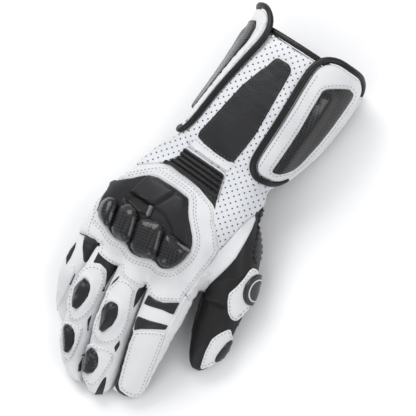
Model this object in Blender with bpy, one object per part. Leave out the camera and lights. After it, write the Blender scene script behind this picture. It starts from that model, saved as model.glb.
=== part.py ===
"""Right-hand leather racing glove with a gauntlet cuff, lying palm down on its own shape.

Frame in metres: +X towards the thumb, +Y towards the cuff, +Z up. The origin is on the
floor, in the middle of the palm's heel, which rests there with the cuff and the fingertips.
"""

import math
from collections import namedtuple

import bmesh
import bpy
from mathutils import Vector

# Leather and gaps
LEATHER = 0.0020          # wall of the sewn shells, leather and lining together
PANEL = 0.0012            # a panel sewn over the shell
LAYER_GAP = 0.0008        # between a shell and what is sewn over it
JOINT_GAP = 0.0003        # between shells that meet edge to edge
SEAM_GAP = 0.0006         # between a guard and the binding round it

# Hand
WRIST_Y = 0.028           # the seam between the hand and the cuff
WRIST_WIDTH = 0.079
WRIST_HEIGHT = 0.051      # top of the wrist above the floor
BACK_HEIGHT = 0.060       # back of the hand above the floor, at the knuckles
WRIST_SHIFT = 0.0067      # the wrist's centre lies this far towards the thumb
PALM_FRONT_Y = -0.060     # where the palm ends between the finger roots
KNUCKLE_HEIGHT = 0.041    # centre of the middle finger's root above the floor
FINGER_GAP = 0.0007       # between neighbouring fingers

# Fingers
INDEX_WIDTH = 0.0346
INDEX_LENGTH = 0.082
MIDDLE_WIDTH = 0.0280
MIDDLE_LENGTH = 0.092
RING_WIDTH = 0.0252
RING_LENGTH = 0.092
LITTLE_WIDTH = 0.0222
LITTLE_LENGTH = 0.064
FINGER_THICKNESS = 0.0255
ROOT_STEP = 0.0080        # from the palm's front edge to the index finger's root
RIDGE_LENGTH = 0.0340     # how far a finger's root runs back over the palm
MIDDLE_X = -0.0100        # centre line of the middle finger
THUMB_WIDTH = 0.0370
THUMB_THICKNESS = 0.0380
THUMB_LENGTH = 0.120      # from its start inside the palm to its tip
THUMB_START_Y = 0.009
THUMB_ROOT_STEP = 0.001   # from the palm's front edge to where the thumb leaves the hand

# Cuff
CUFF_LENGTH = 0.093
CUFF_WIDTH = 0.087        # at its mouth
CUFF_HEIGHT = 0.063
CUFF_LEAN = 0.0225        # how far the mouth is set over towards the thumb
CUFF_SHEAR = -0.14        # slant of the mouth
BINDING_WIDTH = 0.0048
BINDING_HEIGHT = 0.0034
MOUTH_BINDING = 0.0045
GUARD_THICKNESS = 0.0026
PLATE_HEIGHT = 0.0042
THUMB_GUARD_FLARE = 0.0005  # how far each side guard stands off at the mouth
LITTLE_GUARD_FLARE = 0.004

# Hard parts
ARMOUR_BASE = 0.0022
DOME_HEIGHT = 0.0068
DOME_WIDTH = 0.0205
DOME_LENGTH = 0.0230
PLATE_STEP = 0.0030       # how far the back plate's centre stands over its wings
SLIDER_LENGTH = 0.0240
SLIDER_WIDTH = 0.0122
SLIDER_HEIGHT = 0.0036
BADGE_RADIUS = 0.0125
BADGE_HEIGHT = 0.0024
RIB_HEIGHT = 0.0026
STRAP_WIDTH = 0.014
STRAP_STEP = 0.0010       # from the wrist's seam to the strap

# Mesh fineness
AROUND_HAND = 28
AROUND_FINGER = 14
AROUND_CUFF = 28
ROW_STEP = 0.011          # longest stretch of a panel between two rows
HAND_SQUARENESS = 2.35
FINGER_SQUARENESS = 2.2

COLOURS = {
    "white_leather": ((0.80, 0.80, 0.81), 0.5),
    "black_leather": ((0.022, 0.022, 0.024), 0.55),
    "black_plastic": ((0.035, 0.035, 0.038), 0.45),
    "carbon": ((0.02, 0.02, 0.022), 0.2),
}

Section = namedtuple("Section", "place x half top bottom slope shear")
Ring = namedtuple("Ring", "x half z rise slope shear")


def between(rows, place):
    """The columns of a table at a place between its rows, on a smooth curve through them."""
    rows = sorted(rows)
    if place <= rows[0][0]:
        return list(rows[0][1:])
    if place >= rows[-1][0]:
        return list(rows[-1][1:])
    i = max(k for k, row in enumerate(rows) if row[0] <= place)
    a, b = rows[i], rows[i + 1]
    before, after = rows[max(i - 1, 0)], rows[min(i + 2, len(rows) - 1)]
    span = b[0] - a[0]
    t = (place - a[0]) / span
    values = []
    for k in range(1, len(a)):
        rise_a = (b[k] - before[k]) / (b[0] - before[0]) * span
        rise_b = (after[k] - a[k]) / (after[0] - a[0]) * span
        values.append(
            a[k] * (2 * t**3 - 3 * t**2 + 1)
            + rise_a * (t**3 - 2 * t**2 + t)
            + b[k] * (3 * t**2 - 2 * t**3)
            + rise_b * (t**3 - t**2)
        )
    return values


def rounded(angle, squareness):
    """Cosine and sine of a rounded square's outline, for an angle in degrees."""
    c, s = math.cos(math.radians(angle)), math.sin(math.radians(angle))
    power = 2 / squareness
    return math.copysign(abs(c) ** power, c), math.copysign(abs(s) ** power, s)


def on_tube(tube, y, angle, lift=0.0):
    """A point of a tube's surface, lifted off it. 90 degrees is the top, 0 the thumb's side.
    Nothing reaches below the floor, and an inner wall stays its own depth above it."""
    ring = tube.ring(y)
    c, s = rounded(angle, tube.squareness)
    x = ring.x + (ring.half + lift) * c
    z = ring.z + (ring.rise + lift) * s + ring.slope * (x - ring.x)
    floor = max(0.0, -lift)
    return Vector((x, y + ring.shear * (x - ring.x), max(z, floor)))


class Tube:
    """A closed surface along Y. A share of its length runs from its start to its end."""

    def at(self, share):
        return self.start + (self.end - self.start) * share

    def share_of(self, y):
        return (y - self.start) / (self.end - self.start)


class Finger(Tube):
    """A finger's tube: rings of its own width and height, beside its neighbour."""

    squareness = FINGER_SQUARENESS
    TIP_RISE = 0.275          # height of the tip's centre, as a share of the thickness
    BESIDE = 0.8              # share of a neighbour's length along which a finger lies on it

    # the root's place past the palm's edge, its height and the thickness, as shares
    ROOTS = {
        "index": (1.00, 0.94, 1.0),
        "middle": (0.75, 1.00, 1.0),
        "ring": (0.38, 0.93, 1.0),
        "little": (0.19, 0.74, 0.8),
    }
    # share of the length, height of the centre line, thickness, and each finger's width
    Row = namedtuple("Row", "share rise thick index middle ring little")
    ROWS = [
        Row(0.00, 1.00, 1.00, 1.00, 0.92, 0.87, 1.00),
        Row(0.15, 0.94, 1.00, 0.98, 0.93, 0.93, 1.00),
        Row(0.30, 0.86, 0.98, 0.93, 0.97, 1.00, 1.00),
        Row(0.45, 0.73, 0.96, 0.86, 1.00, 1.00, 1.00),
        Row(0.60, 0.52, 0.92, 0.76, 1.00, 0.98, 1.02),
        Row(0.75, 0.28, 0.86, 0.68, 0.97, 0.95, 1.02),
        Row(0.88, 0.09, 0.78, 0.62, 0.84, 0.84, 0.92),
        Row(0.96, 0.02, 0.60, 0.52, 0.58, 0.58, 0.60),
        Row(1.00, 0.00, 0.34, 0.36, 0.26, 0.26, 0.28),
    ]

    def __init__(self, name, width, length, neighbour=None, side=0):
        step, height, thickness = self.ROOTS[name]
        self.name = name
        self.width = width
        self.length = length
        self.root_y = PALM_FRONT_Y - ROOT_STEP * step
        self.start, self.end = self.root_y, self.root_y - length
        self.root_height = KNUCKLE_HEIGHT * height
        self.thickness = FINGER_THICKNESS * thickness
        self.neighbour = neighbour
        self.side = side
        self.tip_height = self.TIP_RISE * self.thickness
        self.column = self.Row._fields.index(name)

    def sizes(self, y):
        """Half width, half height and height of the centre at a place along the finger."""
        share = min(max((self.root_y - y) / self.length, 0.0), 1.0)
        row = [share] + between(self.ROWS, share)
        half = row[self.column] * self.width / 2
        rise = row[2] * self.thickness / 2
        height = self.tip_height + (self.root_height - self.tip_height) * row[1]
        return half, rise, height

    def ring(self, y):
        half, rise, height = self.sizes(y)
        if not self.neighbour:
            return Ring(MIDDLE_X, half, height, rise, 0.0, 0.0)
        next_y = max(y, self.neighbour.at(self.BESIDE))
        other = self.neighbour.ring(next_y)
        drop = (height - other.z) / (rise + other.rise + FINGER_GAP)
        apart = (half + other.half + FINGER_GAP) * math.sqrt(max(1 - drop**2, 0.3))
        return Ring(other.x + self.side * apart, half, height, rise, 0.0, 0.0)


class Thumb(Tube):
    """The thumb's tube, from the ball of the thumb inside the palm to its tip."""

    squareness = FINGER_SQUARENESS

    # share of the length, offset from the palm's edge, height, half width and half height
    Row = namedtuple("Row", "share x z half rise")
    ROWS = [
        Row(0.00, -0.22, 0.70, 0.32, 0.34),
        Row(0.16, 0.06, 0.65, 0.49, 0.50),
        Row(0.30, 0.21, 0.61, 0.52, 0.51),
        Row(0.43, 0.32, 0.53, 0.50, 0.47),
        Row(0.58, 0.36, 0.43, 0.46, 0.42),
        Row(0.70, 0.37, 0.36, 0.42, 0.38),
        Row(0.79, 0.39, 0.33, 0.40, 0.35),
        Row(0.87, 0.42, 0.29, 0.34, 0.31),
        Row(0.94, 0.40, 0.26, 0.24, 0.24),
        Row(0.98, 0.39, 0.24, 0.15, 0.16),
        Row(1.00, 0.39, 0.23, 0.08, 0.09),
    ]

    def __init__(self, index):
        self.root_y = PALM_FRONT_Y - THUMB_ROOT_STEP
        self.start, self.end = THUMB_START_Y, THUMB_START_Y - THUMB_LENGTH
        self.palm_edge = index.ring(index.root_y).x + index.width / 2

    def ring(self, y):
        x, z, half, rise = between(self.ROWS, (THUMB_START_Y - y) / THUMB_LENGTH)
        return Ring(
            self.palm_edge + x * THUMB_WIDTH,
            half * THUMB_WIDTH,
            z * THUMB_THICKNESS,
            rise * THUMB_THICKNESS,
            0.0,
            0.0,
        )


class Body(Tube):
    """A tube given by sections: centre, half width, and the heights of its top and bottom."""

    squareness = HAND_SQUARENESS

    def __init__(self, sections, start, end):
        self.sections = sections
        self.start, self.end = start, end

    def ring(self, y):
        x, half, top, bottom, slope, shear = between(self.sections, y)
        return Ring(x, half, (top + bottom) / 2, (top - bottom) / 2, slope, shear)


def hand_sections(index, little):
    """The palm's sections from the wrist to the finger roots, a row for each."""
    left = little.ring(little.root_y).x - 0.40 * little.width
    right = index.ring(index.root_y).x + index.width / 2
    knuckle_x, knuckle_half = (left + right) / 2, (right - left) / 2
    rows = [
        # place, width, centre and top, each a share of the way from the wrist to the knuckles;
        # bottom as a share of the back's height; slope across; slant of the section
        (-0.12, 0.00, 0.00, 0.00, 0.085, 0.00, -0.10),
        (0.00, 0.00, 0.00, 0.00, 0.085, 0.00, -0.10),
        (0.10, 0.38, 0.12, 0.33, 0.050, 0.01, -0.07),
        (0.22, 0.72, 0.25, 0.67, -0.030, 0.02, -0.03),
        (0.34, 0.90, 0.39, 0.90, -0.040, 0.04, 0.00),
        (0.50, 1.00, 0.58, 1.03, 0.030, 0.06, 0.00),
        (0.68, 1.03, 0.78, 1.00, 0.200, 0.08, 0.00),
        (0.86, 1.00, 0.99, 0.87, 0.360, 0.09, 0.00),
        (0.97, 0.99, 1.00, 0.70, 0.420, 0.09, 0.00),
        (1.00, 0.98, 1.00, 0.60, 0.440, 0.09, 0.00),
    ]
    sections = []
    for place, width, centre, top, bottom, slope, shear in rows:
        y = WRIST_Y + (PALM_FRONT_Y - WRIST_Y) * place
        x = WRIST_SHIFT + (knuckle_x - WRIST_SHIFT) * centre
        half = WRIST_WIDTH / 2 + (knuckle_half - WRIST_WIDTH / 2) * width
        high = WRIST_HEIGHT + (BACK_HEIGHT - WRIST_HEIGHT) * top
        sections.append(Section(y, x, half, high, BACK_HEIGHT * bottom, slope, shear))
    return sections


def cuff_sections(hand):
    """The gauntlet's sections from the wrist seam to the mouth."""
    wrist = hand.ring(WRIST_Y)
    rows = [
        # shares of the length, the widening, the lean, the height gained and the mouth's slant,
        # and the bottom as a share of the wrist's
        (0.00, 0.00, 0.00, 0.00, 0.00, 1.00),
        (0.16, 0.20, 0.26, 0.35, 0.48, 0.60),
        (0.36, 0.72, 0.50, 0.62, 1.00, -0.40),
        (0.62, 1.08, 0.78, 0.88, 1.00, -0.80),
        (1.00, 1.00, 1.00, 1.00, 1.00, -1.00),
    ]
    top_0, bottom_0 = wrist.z + wrist.rise, wrist.z - wrist.rise
    sections = []
    for share, wide, lean, high, slant, low in rows:
        y = WRIST_Y + CUFF_LENGTH * share
        x = wrist.x + CUFF_LEAN * lean
        half = wrist.half + (CUFF_WIDTH / 2 - wrist.half) * wide
        top = top_0 + (CUFF_HEIGHT - top_0) * high
        shear = wrist.shear + (CUFF_SHEAR - wrist.shear) * slant
        sections.append(Section(y, x, half, top, bottom_0 * low, 0.0, shear))
    return sections


# Mesh making


def make_object(name, verts, faces, look, smooth=True):
    """A closed mesh object with its material, its faces pointing out."""
    mesh = bpy.data.meshes.new(name)
    mesh.from_pydata([tuple(v) for v in verts], [], faces)
    work = bmesh.new()
    work.from_mesh(mesh)
    bmesh.ops.remove_doubles(work, verts=work.verts, dist=1e-6)
    bmesh.ops.recalc_face_normals(work, faces=work.faces)
    if work.calc_volume(signed=True) < 0:
        bmesh.ops.reverse_faces(work, faces=work.faces)
    work.to_mesh(mesh)
    work.free()
    mesh.materials.append(MATERIALS[look])
    if smooth:
        mesh.shade_smooth()
        mesh.set_sharp_from_angle(angle=math.radians(40))
    obj = bpy.data.objects.new(name, mesh)
    bpy.context.scene.collection.objects.link(obj)
    return obj


def material(name):
    """A Principled material in one of the glove's colours."""
    colour, roughness = COLOURS[name]
    made = bpy.data.materials.new(name)
    made.use_nodes = True
    shader = made.node_tree.nodes["Principled BSDF"]
    shader.inputs["Base Color"].default_value = (*colour, 1.0)
    shader.inputs["Roughness"].default_value = roughness
    shader.inputs["Metallic"].default_value = 0.0
    return made


def strip(first, second, count):
    """Faces between two rings of vertex numbers."""
    return [
        (first + k, first + (k + 1) % count, second + (k + 1) % count, second + k)
        for k in range(count)
    ]


def ring_points(tube, y, count, lift=0.0):
    return [on_tube(tube, y, 360 * k / count, lift) for k in range(count)]


def solid_loft(name, rings, look):
    """A closed solid through rings of equal count, flat at both ends."""
    count = len(rings[0])
    verts = [p for ring in rings for p in ring]
    faces = []
    for k in range(len(rings) - 1):
        faces += strip(k * count, (k + 1) * count, count)
    last = (len(rings) - 1) * count
    faces.append(tuple(range(count))[::-1])
    faces.append(tuple(last + k for k in range(count)))
    return make_object(name, verts, faces, look)


def hollow_loft(name, outer, inner, look, closed_end):
    """A wall between outer and inner rings, open at its first ring."""
    count = len(outer[0])
    verts = [p for ring in outer + inner for p in ring]
    start = len(outer) * count
    faces = []
    for k in range(len(outer) - 1):
        faces += strip(k * count, (k + 1) * count, count)
    for k in range(len(inner) - 1):
        faces += strip(start + k * count, start + (k + 1) * count, count)
    faces += strip(0, start, count)
    outer_end, inner_end = (len(outer) - 1) * count, start + (len(inner) - 1) * count
    if closed_end:
        faces.append(tuple(outer_end + k for k in range(count)))
        faces.append(tuple(inner_end + k for k in range(count)))
    else:
        faces += strip(outer_end, inner_end, count)
    return make_object(name, verts, faces, look)


def slab(name, upper, lower, look, smooth=True):
    """A sheet with thickness between two grids of points of the same shape."""
    rows, columns = len(upper), len(upper[0])
    size = rows * columns
    verts = [p for row in upper for p in row] + [p for row in lower for p in row]
    faces = []
    for r in range(rows - 1):
        for c in range(columns - 1):
            a = r * columns + c
            faces.append((a, a + 1, a + columns + 1, a + columns))
            faces.append((size + a, size + a + columns, size + a + columns + 1, size + a + 1))
    edge = list(range(columns))
    edge += [r * columns + columns - 1 for r in range(1, rows)]
    edge += [(rows - 1) * columns + c for c in range(columns - 2, -1, -1)]
    edge += [r * columns for r in range(rows - 2, 0, -1)]
    for k, a in enumerate(edge):
        b = edge[(k + 1) % len(edge)]
        faces.append((a, size + a, size + b, b))
    return make_object(name, verts, faces, look, smooth)


def join(target, others, operation):
    """Unites solids with the target, or cuts them from it, and removes them."""
    for other in others:
        step = target.modifiers.new("join", "BOOLEAN")
        step.operation = operation
        step.object = other
        with bpy.context.temp_override(object=target, active_object=target):
            bpy.ops.object.modifier_apply(modifier=step.name)
        bpy.data.objects.remove(other)


def spread(start, end, count):
    return [start + (end - start) * k / (count - 1) for k in range(count)]


# Shells


FINGER_RINGS = [0, 0.13, 0.26, 0.38, 0.50, 0.62, 0.73, 0.83, 0.91, 0.97, 1.0]
THUMB_RINGS = [0, 0.14, 0.28, 0.42, 0.56, 0.68, 0.78, 0.87, 0.94, 1.0]


def finger_shell(name, tube, shares, look):
    """A finger's or the thumb's hollow leather tube from its root seam to its closed tip."""
    start = tube.root_y - JOINT_GAP / 2
    places = [start + (tube.end - start) * s for s in shares]
    outer = [ring_points(tube, y, AROUND_FINGER) for y in places]
    inner = [ring_points(tube, y, AROUND_FINGER, -LEATHER) for y in places[:-1:2]]
    return hollow_loft(name, outer, inner, look, True)


RIDGE_RINGS = [(1.0, 0.35), (0.76, 0.66), (0.47, 0.90), (0.21, 0.99), (0.0, 1.0)]
RIDGE_SINK = 0.6          # how far a shrinking ring sinks towards the middle of the palm


def finger_stub(finger, hand, lift, reach):
    """The finger's root running back into the palm, as a ridge that sinks below the back."""
    rings = []
    root = finger.ring(finger.root_y)
    for back, size in RIDGE_RINGS:
        y = finger.root_y + RIDGE_LENGTH * back
        centre = Vector((root.x, y, root.z))
        deep = Vector((root.x, y, hand.ring(y).z))
        points = []
        for p in ring_points(finger, finger.root_y, AROUND_FINGER, lift):
            p = Vector((p.x, y, p.z)) - centre
            points.append(centre.lerp(deep, (1 - size) * RIDGE_SINK) + p * size)
        rings.append(points)
    for p in rings[-1]:
        p.y += JOINT_GAP / 2 - reach
    return solid_loft("stub", rings, "white_leather")


def thumb_stub(thumb, lift, reach):
    """The thumb's tube inside the palm, from its start to its seam."""
    places = spread(thumb.start, thumb.root_y, 7)
    rings = [ring_points(thumb, y, AROUND_FINGER, lift) for y in places]
    for p in rings[-1]:
        p.y += JOINT_GAP / 2 - reach
    return solid_loft("stub", rings, "white_leather")


HAND_RINGS = [0, 0.09, 0.16, 0.22, 0.28, 0.35, 0.43, 0.54, 0.66, 0.78, 0.90, 1.0]


def hand_shell(hand, fingers, thumb):
    """The hollow hand from the wrist seam to the finger roots, open at each root."""
    places = [hand.at(s) for s in HAND_RINGS]
    outer = [ring_points(hand, y, AROUND_HAND) for y in places]
    shell = solid_loft("hand", outer, "white_leather")
    join(shell, [finger_stub(f, hand, 0.0, 0.0) for f in fingers], "UNION")
    join(shell, [thumb_stub(thumb, 0.0, 0.0)], "UNION")
    past = 3 * LEATHER
    inside = [WRIST_Y + past] + places[:-1:2] + [PALM_FRONT_Y + LEATHER]
    inner = [ring_points(hand, y, AROUND_HAND, -LEATHER) for y in inside]
    hollow = solid_loft("hollow", inner, "white_leather")
    join(hollow, [finger_stub(f, hand, -LEATHER, past) for f in fingers], "UNION")
    join(hollow, [thumb_stub(thumb, -LEATHER, past)], "UNION")
    join(shell, [hollow], "DIFFERENCE")
    return shell


CUFF_RINGS = [0, 0.07, 0.14, 0.22, 0.32, 0.44, 0.62, 0.81, 1.0]


def cuff_shell(cuff):
    """The gauntlet's wall, open at the wrist and at its mouth."""
    start = cuff.start + JOINT_GAP
    places = [start + (cuff.end - start) * s for s in CUFF_RINGS]
    outer = [ring_points(cuff, y, AROUND_CUFF) for y in places]
    inner = [ring_points(cuff, y, AROUND_CUFF, -LEATHER) for y in places[::2]]
    return hollow_loft("cuff", outer, inner, "white_leather", False)


# Panels, bindings and ribs laid over a shell
# Each row of a panel's table: share of the length and angle at its first edge, then at its second.

PanelRow = namedtuple("PanelRow", "share angle second_share second_angle")

CUFF_PANEL_ROWS = [
    PanelRow(0.03, 59, 0.03, 131),
    PanelRow(0.24, 65, 0.24, 126),
    PanelRow(0.42, 69, 0.42, 122),
    PanelRow(0.61, 72, 0.61, 118),
    PanelRow(0.80, 74, 0.80, 110),
    PanelRow(0.985, 73, 0.985, 106),
]
CUFF_PATCH_ROWS = [
    PanelRow(0.045, 74, 0.075, 110),
    PanelRow(0.10, 71, 0.12, 114),
    PanelRow(0.22, 73, 0.22, 113),
    PanelRow(0.40, 76, 0.40, 111),
    PanelRow(0.57, 79, 0.57, 107),
    PanelRow(0.80, 82, 0.80, 98),
    PanelRow(0.90, 85, 0.89, 94),
]
THUMB_GUARD_ROWS = [
    PanelRow(0.085, 12, 0.065, 38),
    PanelRow(0.13, -4, 0.11, 50),
    PanelRow(0.22, -14, 0.22, 54),
    PanelRow(0.42, -19, 0.42, 58),
    PanelRow(0.58, -21, 0.58, 61),
    PanelRow(0.79, -21, 0.79, 63),
    PanelRow(0.95, -19, 0.95, 63),
    PanelRow(1.04, -10, 1.03, 58),
    PanelRow(1.08, 6, 1.07, 46),
]
THUMB_PLATE_ROWS = [
    PanelRow(0.16, 18, 0.14, 28),
    PanelRow(0.25, 5, 0.25, 34),
    PanelRow(0.39, 7, 0.39, 40),
    PanelRow(0.55, 10, 0.55, 44),
    PanelRow(0.71, 10, 0.71, 48),
    PanelRow(0.86, 10, 0.87, 47),
    PanelRow(0.97, 12, 0.95, 38),
]
LITTLE_GUARD_ROWS = [
    PanelRow(0.10, 162, 0.075, 145),
    PanelRow(0.15, 180, 0.12, 140),
    PanelRow(0.28, 192, 0.26, 137),
    PanelRow(0.45, 197, 0.45, 134),
    PanelRow(0.62, 200, 0.62, 130),
    PanelRow(0.80, 200, 0.80, 124),
    PanelRow(0.96, 198, 0.96, 119),
    PanelRow(1.06, 190, 1.07, 121),
    PanelRow(1.10, 176, 1.13, 134),
]
LITTLE_PLATE_ROWS = [
    PanelRow(0.24, 168, 0.22, 158),
    PanelRow(0.34, 179, 0.32, 154),
    PanelRow(0.50, 182, 0.50, 150),
    PanelRow(0.70, 184, 0.70, 147),
    PanelRow(0.88, 183, 0.88, 145),
    PanelRow(1.00, 172, 1.02, 148),
]
STRAP_ANGLES = (217, 322)
ACCORDION_ROWS = [PanelRow(0.075, 72, 0.055, 110), PanelRow(0.30, 60, 0.235, 110)]
THUMB_ACCORDION_ROWS = [PanelRow(0.10, -32, 0.10, 2), PanelRow(0.30, -34, 0.30, 3)]
BACK_ROWS = [
    PanelRow(0.33, 66, 0.275, 123),
    PanelRow(0.39, 60, 0.335, 141),
    PanelRow(0.46, 51, 0.42, 152),
    PanelRow(0.53, 43, 0.51, 155),
    PanelRow(0.61, 31, 0.61, 157),
    PanelRow(0.69, 24, 0.69, 158),
    PanelRow(0.79, 21, 0.79, 158),
    PanelRow(0.89, 21, 0.89, 156),
    PanelRow(0.97, 22, 0.97, 154),
]
THUMB_VENT_ROWS = [
    PanelRow(0.10, 21, 0.085, 66),
    PanelRow(0.17, 21, 0.16, 62),
    PanelRow(0.26, 22, 0.25, 58),
    PanelRow(0.36, 23, 0.35, 56),
    PanelRow(0.44, 24, 0.43, 49),
    PanelRow(0.50, 25, 0.50, 42),
    PanelRow(0.57, 26, 0.56, 32),
]
LITTLE_VENT_ROWS = [
    PanelRow(0.03, 114, 0.03, 151),
    PanelRow(0.11, 114, 0.11, 153),
    PanelRow(0.18, 114, 0.18, 155),
    PanelRow(0.235, 121, 0.24, 157),
    PanelRow(0.28, 140, 0.29, 159),
]
SIDE_STRIP_ROWS = [
    PanelRow(0.30, 12, 0.30, 19),
    PanelRow(0.40, 16, 0.40, 21),
    PanelRow(0.50, 17, 0.50, 22.5),
    PanelRow(0.60, 15, 0.60, 22),
    PanelRow(0.69, 12, 0.69, 21),
    PanelRow(0.79, 10, 0.79, 18),
    PanelRow(0.89, 10, 0.89, 18),
]
ARMOUR_ROWS = [
    PanelRow(0.365, 92, 0.355, 107),
    PanelRow(0.40, 80, 0.40, 117),
    PanelRow(0.46, 75, 0.45, 125),
    PanelRow(0.53, 70, 0.52, 138),
    PanelRow(0.60, 63, 0.59, 143),
    PanelRow(0.67, 56, 0.67, 141),
    PanelRow(0.74, 49, 0.74, 138),
    PanelRow(0.81, 46, 0.81, 132),
    PanelRow(0.88, 46, 0.87, 122),
    PanelRow(0.94, 49, 0.92, 112),
    PanelRow(0.98, 54, 0.975, 98),
]
BACK_PLATE_ROWS = [
    PanelRow(0.40, 89, 0.40, 107),
    PanelRow(0.47, 90, 0.47, 110),
    PanelRow(0.54, 91, 0.54, 111),
    PanelRow(0.60, 92, 0.60, 110),
    PanelRow(0.65, 94, 0.65, 108),
]
INDEX_PATCH_ROWS = [PanelRow(0.11, 46, 0.16, 118), PanelRow(0.23, 46, 0.26, 121)]
INDEX_BAND_ROWS = [PanelRow(0.33, 46, 0.37, 127), PanelRow(0.38, 46, 0.49, 124)]
INDEX_PANEL_ROWS = [
    PanelRow(0.41, 46, 0.53, 124),
    PanelRow(0.57, 40, 0.64, 122),
    PanelRow(0.75, 32, 0.77, 118),
    PanelRow(0.90, 20, 0.90, 112),
]
MIDDLE_PANEL_ROWS = [
    PanelRow(0.04, 44, 0.04, 136),
    PanelRow(0.22, 42, 0.22, 140),
    PanelRow(0.40, 42, 0.40, 144),
    PanelRow(0.58, 46, 0.58, 144),
    PanelRow(0.74, 52, 0.74, 148),
    PanelRow(0.90, 62, 0.90, 140),
]
RING_PANEL_ROWS = [
    PanelRow(0.04, 50, 0.04, 134),
    PanelRow(0.22, 50, 0.22, 140),
    PanelRow(0.40, 48, 0.40, 146),
    PanelRow(0.58, 50, 0.58, 148),
    PanelRow(0.74, 54, 0.74, 148),
    PanelRow(0.90, 60, 0.90, 134),
]
LITTLE_PANEL_ROWS = [
    PanelRow(0.08, 70, 0.08, 150),
    PanelRow(0.30, 72, 0.30, 156),
    PanelRow(0.55, 74, 0.55, 160),
    PanelRow(0.80, 76, 0.80, 150),
]
THUMB_KNUCKLE_ROWS = [
    PanelRow(0.32, 4, 0.30, 44),
    PanelRow(0.37, -12, 0.36, 56),
    PanelRow(0.44, -22, 0.44, 62),
    PanelRow(0.51, -24, 0.51, 66),
    PanelRow(0.57, -16, 0.57, 60),
]
THUMB_TIP_ROWS = [
    PanelRow(0.70, -6, 0.68, 26),
    PanelRow(0.75, -24, 0.75, 48),
    PanelRow(0.82, -26, 0.82, 64),
    PanelRow(0.90, -22, 0.90, 62),
]

Dome = namedtuple("Dome", "name share angle width length")
DOMES = [
    Dome("little", 0.745, 125, 0.66, 0.88),
    Dome("ring", 0.80, 105, 0.74, 1.00),
    Dome("middle", 0.82, 84, 0.98, 1.04),
    Dome("index", 0.845, 60.5, 0.90, 0.98),
]
Slider = namedtuple("Slider", "tube share angle size")


def row_points(tube, row, columns, lift):
    """Points across a panel on one row of its table. lift is a function of share and angle."""
    points = []
    for k in range(columns):
        part = k / (columns - 1)
        angle = row[1] + (row[3] - row[1]) * part
        share = row[0] + (row[2] - row[0]) * part
        points.append(on_tube(tube, tube.at(share), angle, lift(share, angle)))
    return points


def constant(value):
    """The same lift all over a panel."""
    return lambda share, angle: value


def raised(under, height):
    """A lift that stands a height over another one."""
    return lambda share, angle: under(share, angle) + height


def finer(tube, rows):
    """A panel's table with rows added between its own, no further apart than ROW_STEP."""
    made = [rows[0]]
    for a, b in zip(rows, rows[1:]):
        far = max(abs(tube.at(b[0]) - tube.at(a[0])), abs(tube.at(b[2]) - tube.at(a[2])))
        steps = max(1, math.ceil(far / ROW_STEP))
        for k in range(1, steps + 1):
            made.append(PanelRow(*(p + (q - p) * k / steps for p, q in zip(a, b))))
    return made


def panel(name, tube, rows, look, under=constant(LAYER_GAP), thickness=PANEL, columns=6):
    """A leather panel sewn over a tube, between the edges of its table's rows."""
    rows = finer(tube, rows)
    upper = [row_points(tube, row, columns, raised(under, thickness)) for row in rows]
    lower = [row_points(tube, row, columns, under) for row in rows]
    return slab(name, upper, lower, look)


def ribbed_panel(name, tube, rows, ribs, look, columns=7):
    """An accordion panel: straight ribs across it, each one fold of the leather."""
    first, last = rows
    upper, lower = [], []
    for k in range(2 * ribs + 1):
        part = k / (2 * ribs)
        row = PanelRow(*(a + (b - a) * part for a, b in zip(first, last)))
        top = PANEL + (RIB_HEIGHT if k % 2 else 0.0)
        upper.append(row_points(tube, row, columns, constant(LAYER_GAP + top)))
        lower.append(row_points(tube, row, columns, constant(LAYER_GAP)))
    return slab(name, upper, lower, look, smooth=False)


def outline_of(rows, columns=4):
    """The edge of a panel's table as a loop of share and angle pairs."""
    loop = [(row[0], row[1]) for row in rows]
    for k in range(1, columns):
        part = k / columns
        a, b = rows[-1][:2], rows[-1][2:]
        loop.append((a[0] + (b[0] - a[0]) * part, a[1] + (b[1] - a[1]) * part))
    loop += [(row[2], row[3]) for row in reversed(rows)]
    for k in range(1, columns):
        part = k / columns
        a, b = rows[0][2:], rows[0][:2]
        loop.append((a[0] + (b[0] - a[0]) * part, a[1] + (b[1] - a[1]) * part))
    return loop


def grown(tube, loop, distance):
    """A loop on a tube moved outwards by a distance along the surface."""
    sizes = []
    for share, _ in loop:
        ring = tube.ring(tube.at(share))
        sizes.append(math.radians((ring.half + ring.rise) / 2))
    flat = [Vector((a * k, tube.at(s))) for (s, a), k in zip(loop, sizes)]
    middle = sum(flat, Vector((0.0, 0.0))) / len(flat)
    moved = []
    for k, p in enumerate(flat):
        along = (flat[(k + 1) % len(flat)] - flat[k - 1]).normalized()
        out = Vector((along.y, -along.x))
        if out.dot(p - middle) < 0:
            out = -out
        q = p + out * distance
        moved.append((tube.share_of(q.y), q.x / sizes[k]))
    return moved


# Width and height shares of a rolled edge's section
ROLLED_EDGE = [(0.0, 0.0), (0.0, 0.65), (0.28, 1.0), (0.72, 1.0), (1.0, 0.65), (1.0, 0.0)]


def binding(name, tube, rows, lift, look):
    """A rolled leather edge that runs round a panel as a closed loop."""
    edge = outline_of(rows)
    rings = []
    for across, high in ROLLED_EDGE:
        loop = grown(tube, edge, SEAM_GAP + across * BINDING_WIDTH)
        rings.append(
            [on_tube(tube, tube.at(s), a, lift(s, a) + high * BINDING_HEIGHT) for s, a in loop]
        )
    count = len(edge)
    faces = []
    for k in range(len(rings)):
        faces += strip(k * count, (k + 1) % len(rings) * count, count)
    return make_object(name, [p for ring in rings for p in ring], faces, look)


def guard_lift(outer_angle, inner_angle, flare):
    """How far a side guard lies off the cuff: it opens out towards the mouth at its outer edge."""

    def lift(share, angle):
        out = min(max((angle - inner_angle) / (outer_angle - inner_angle), 0.0), 1.2)
        return LAYER_GAP + flare * max(share, 0.0) ** 2 * out

    return lift


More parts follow.
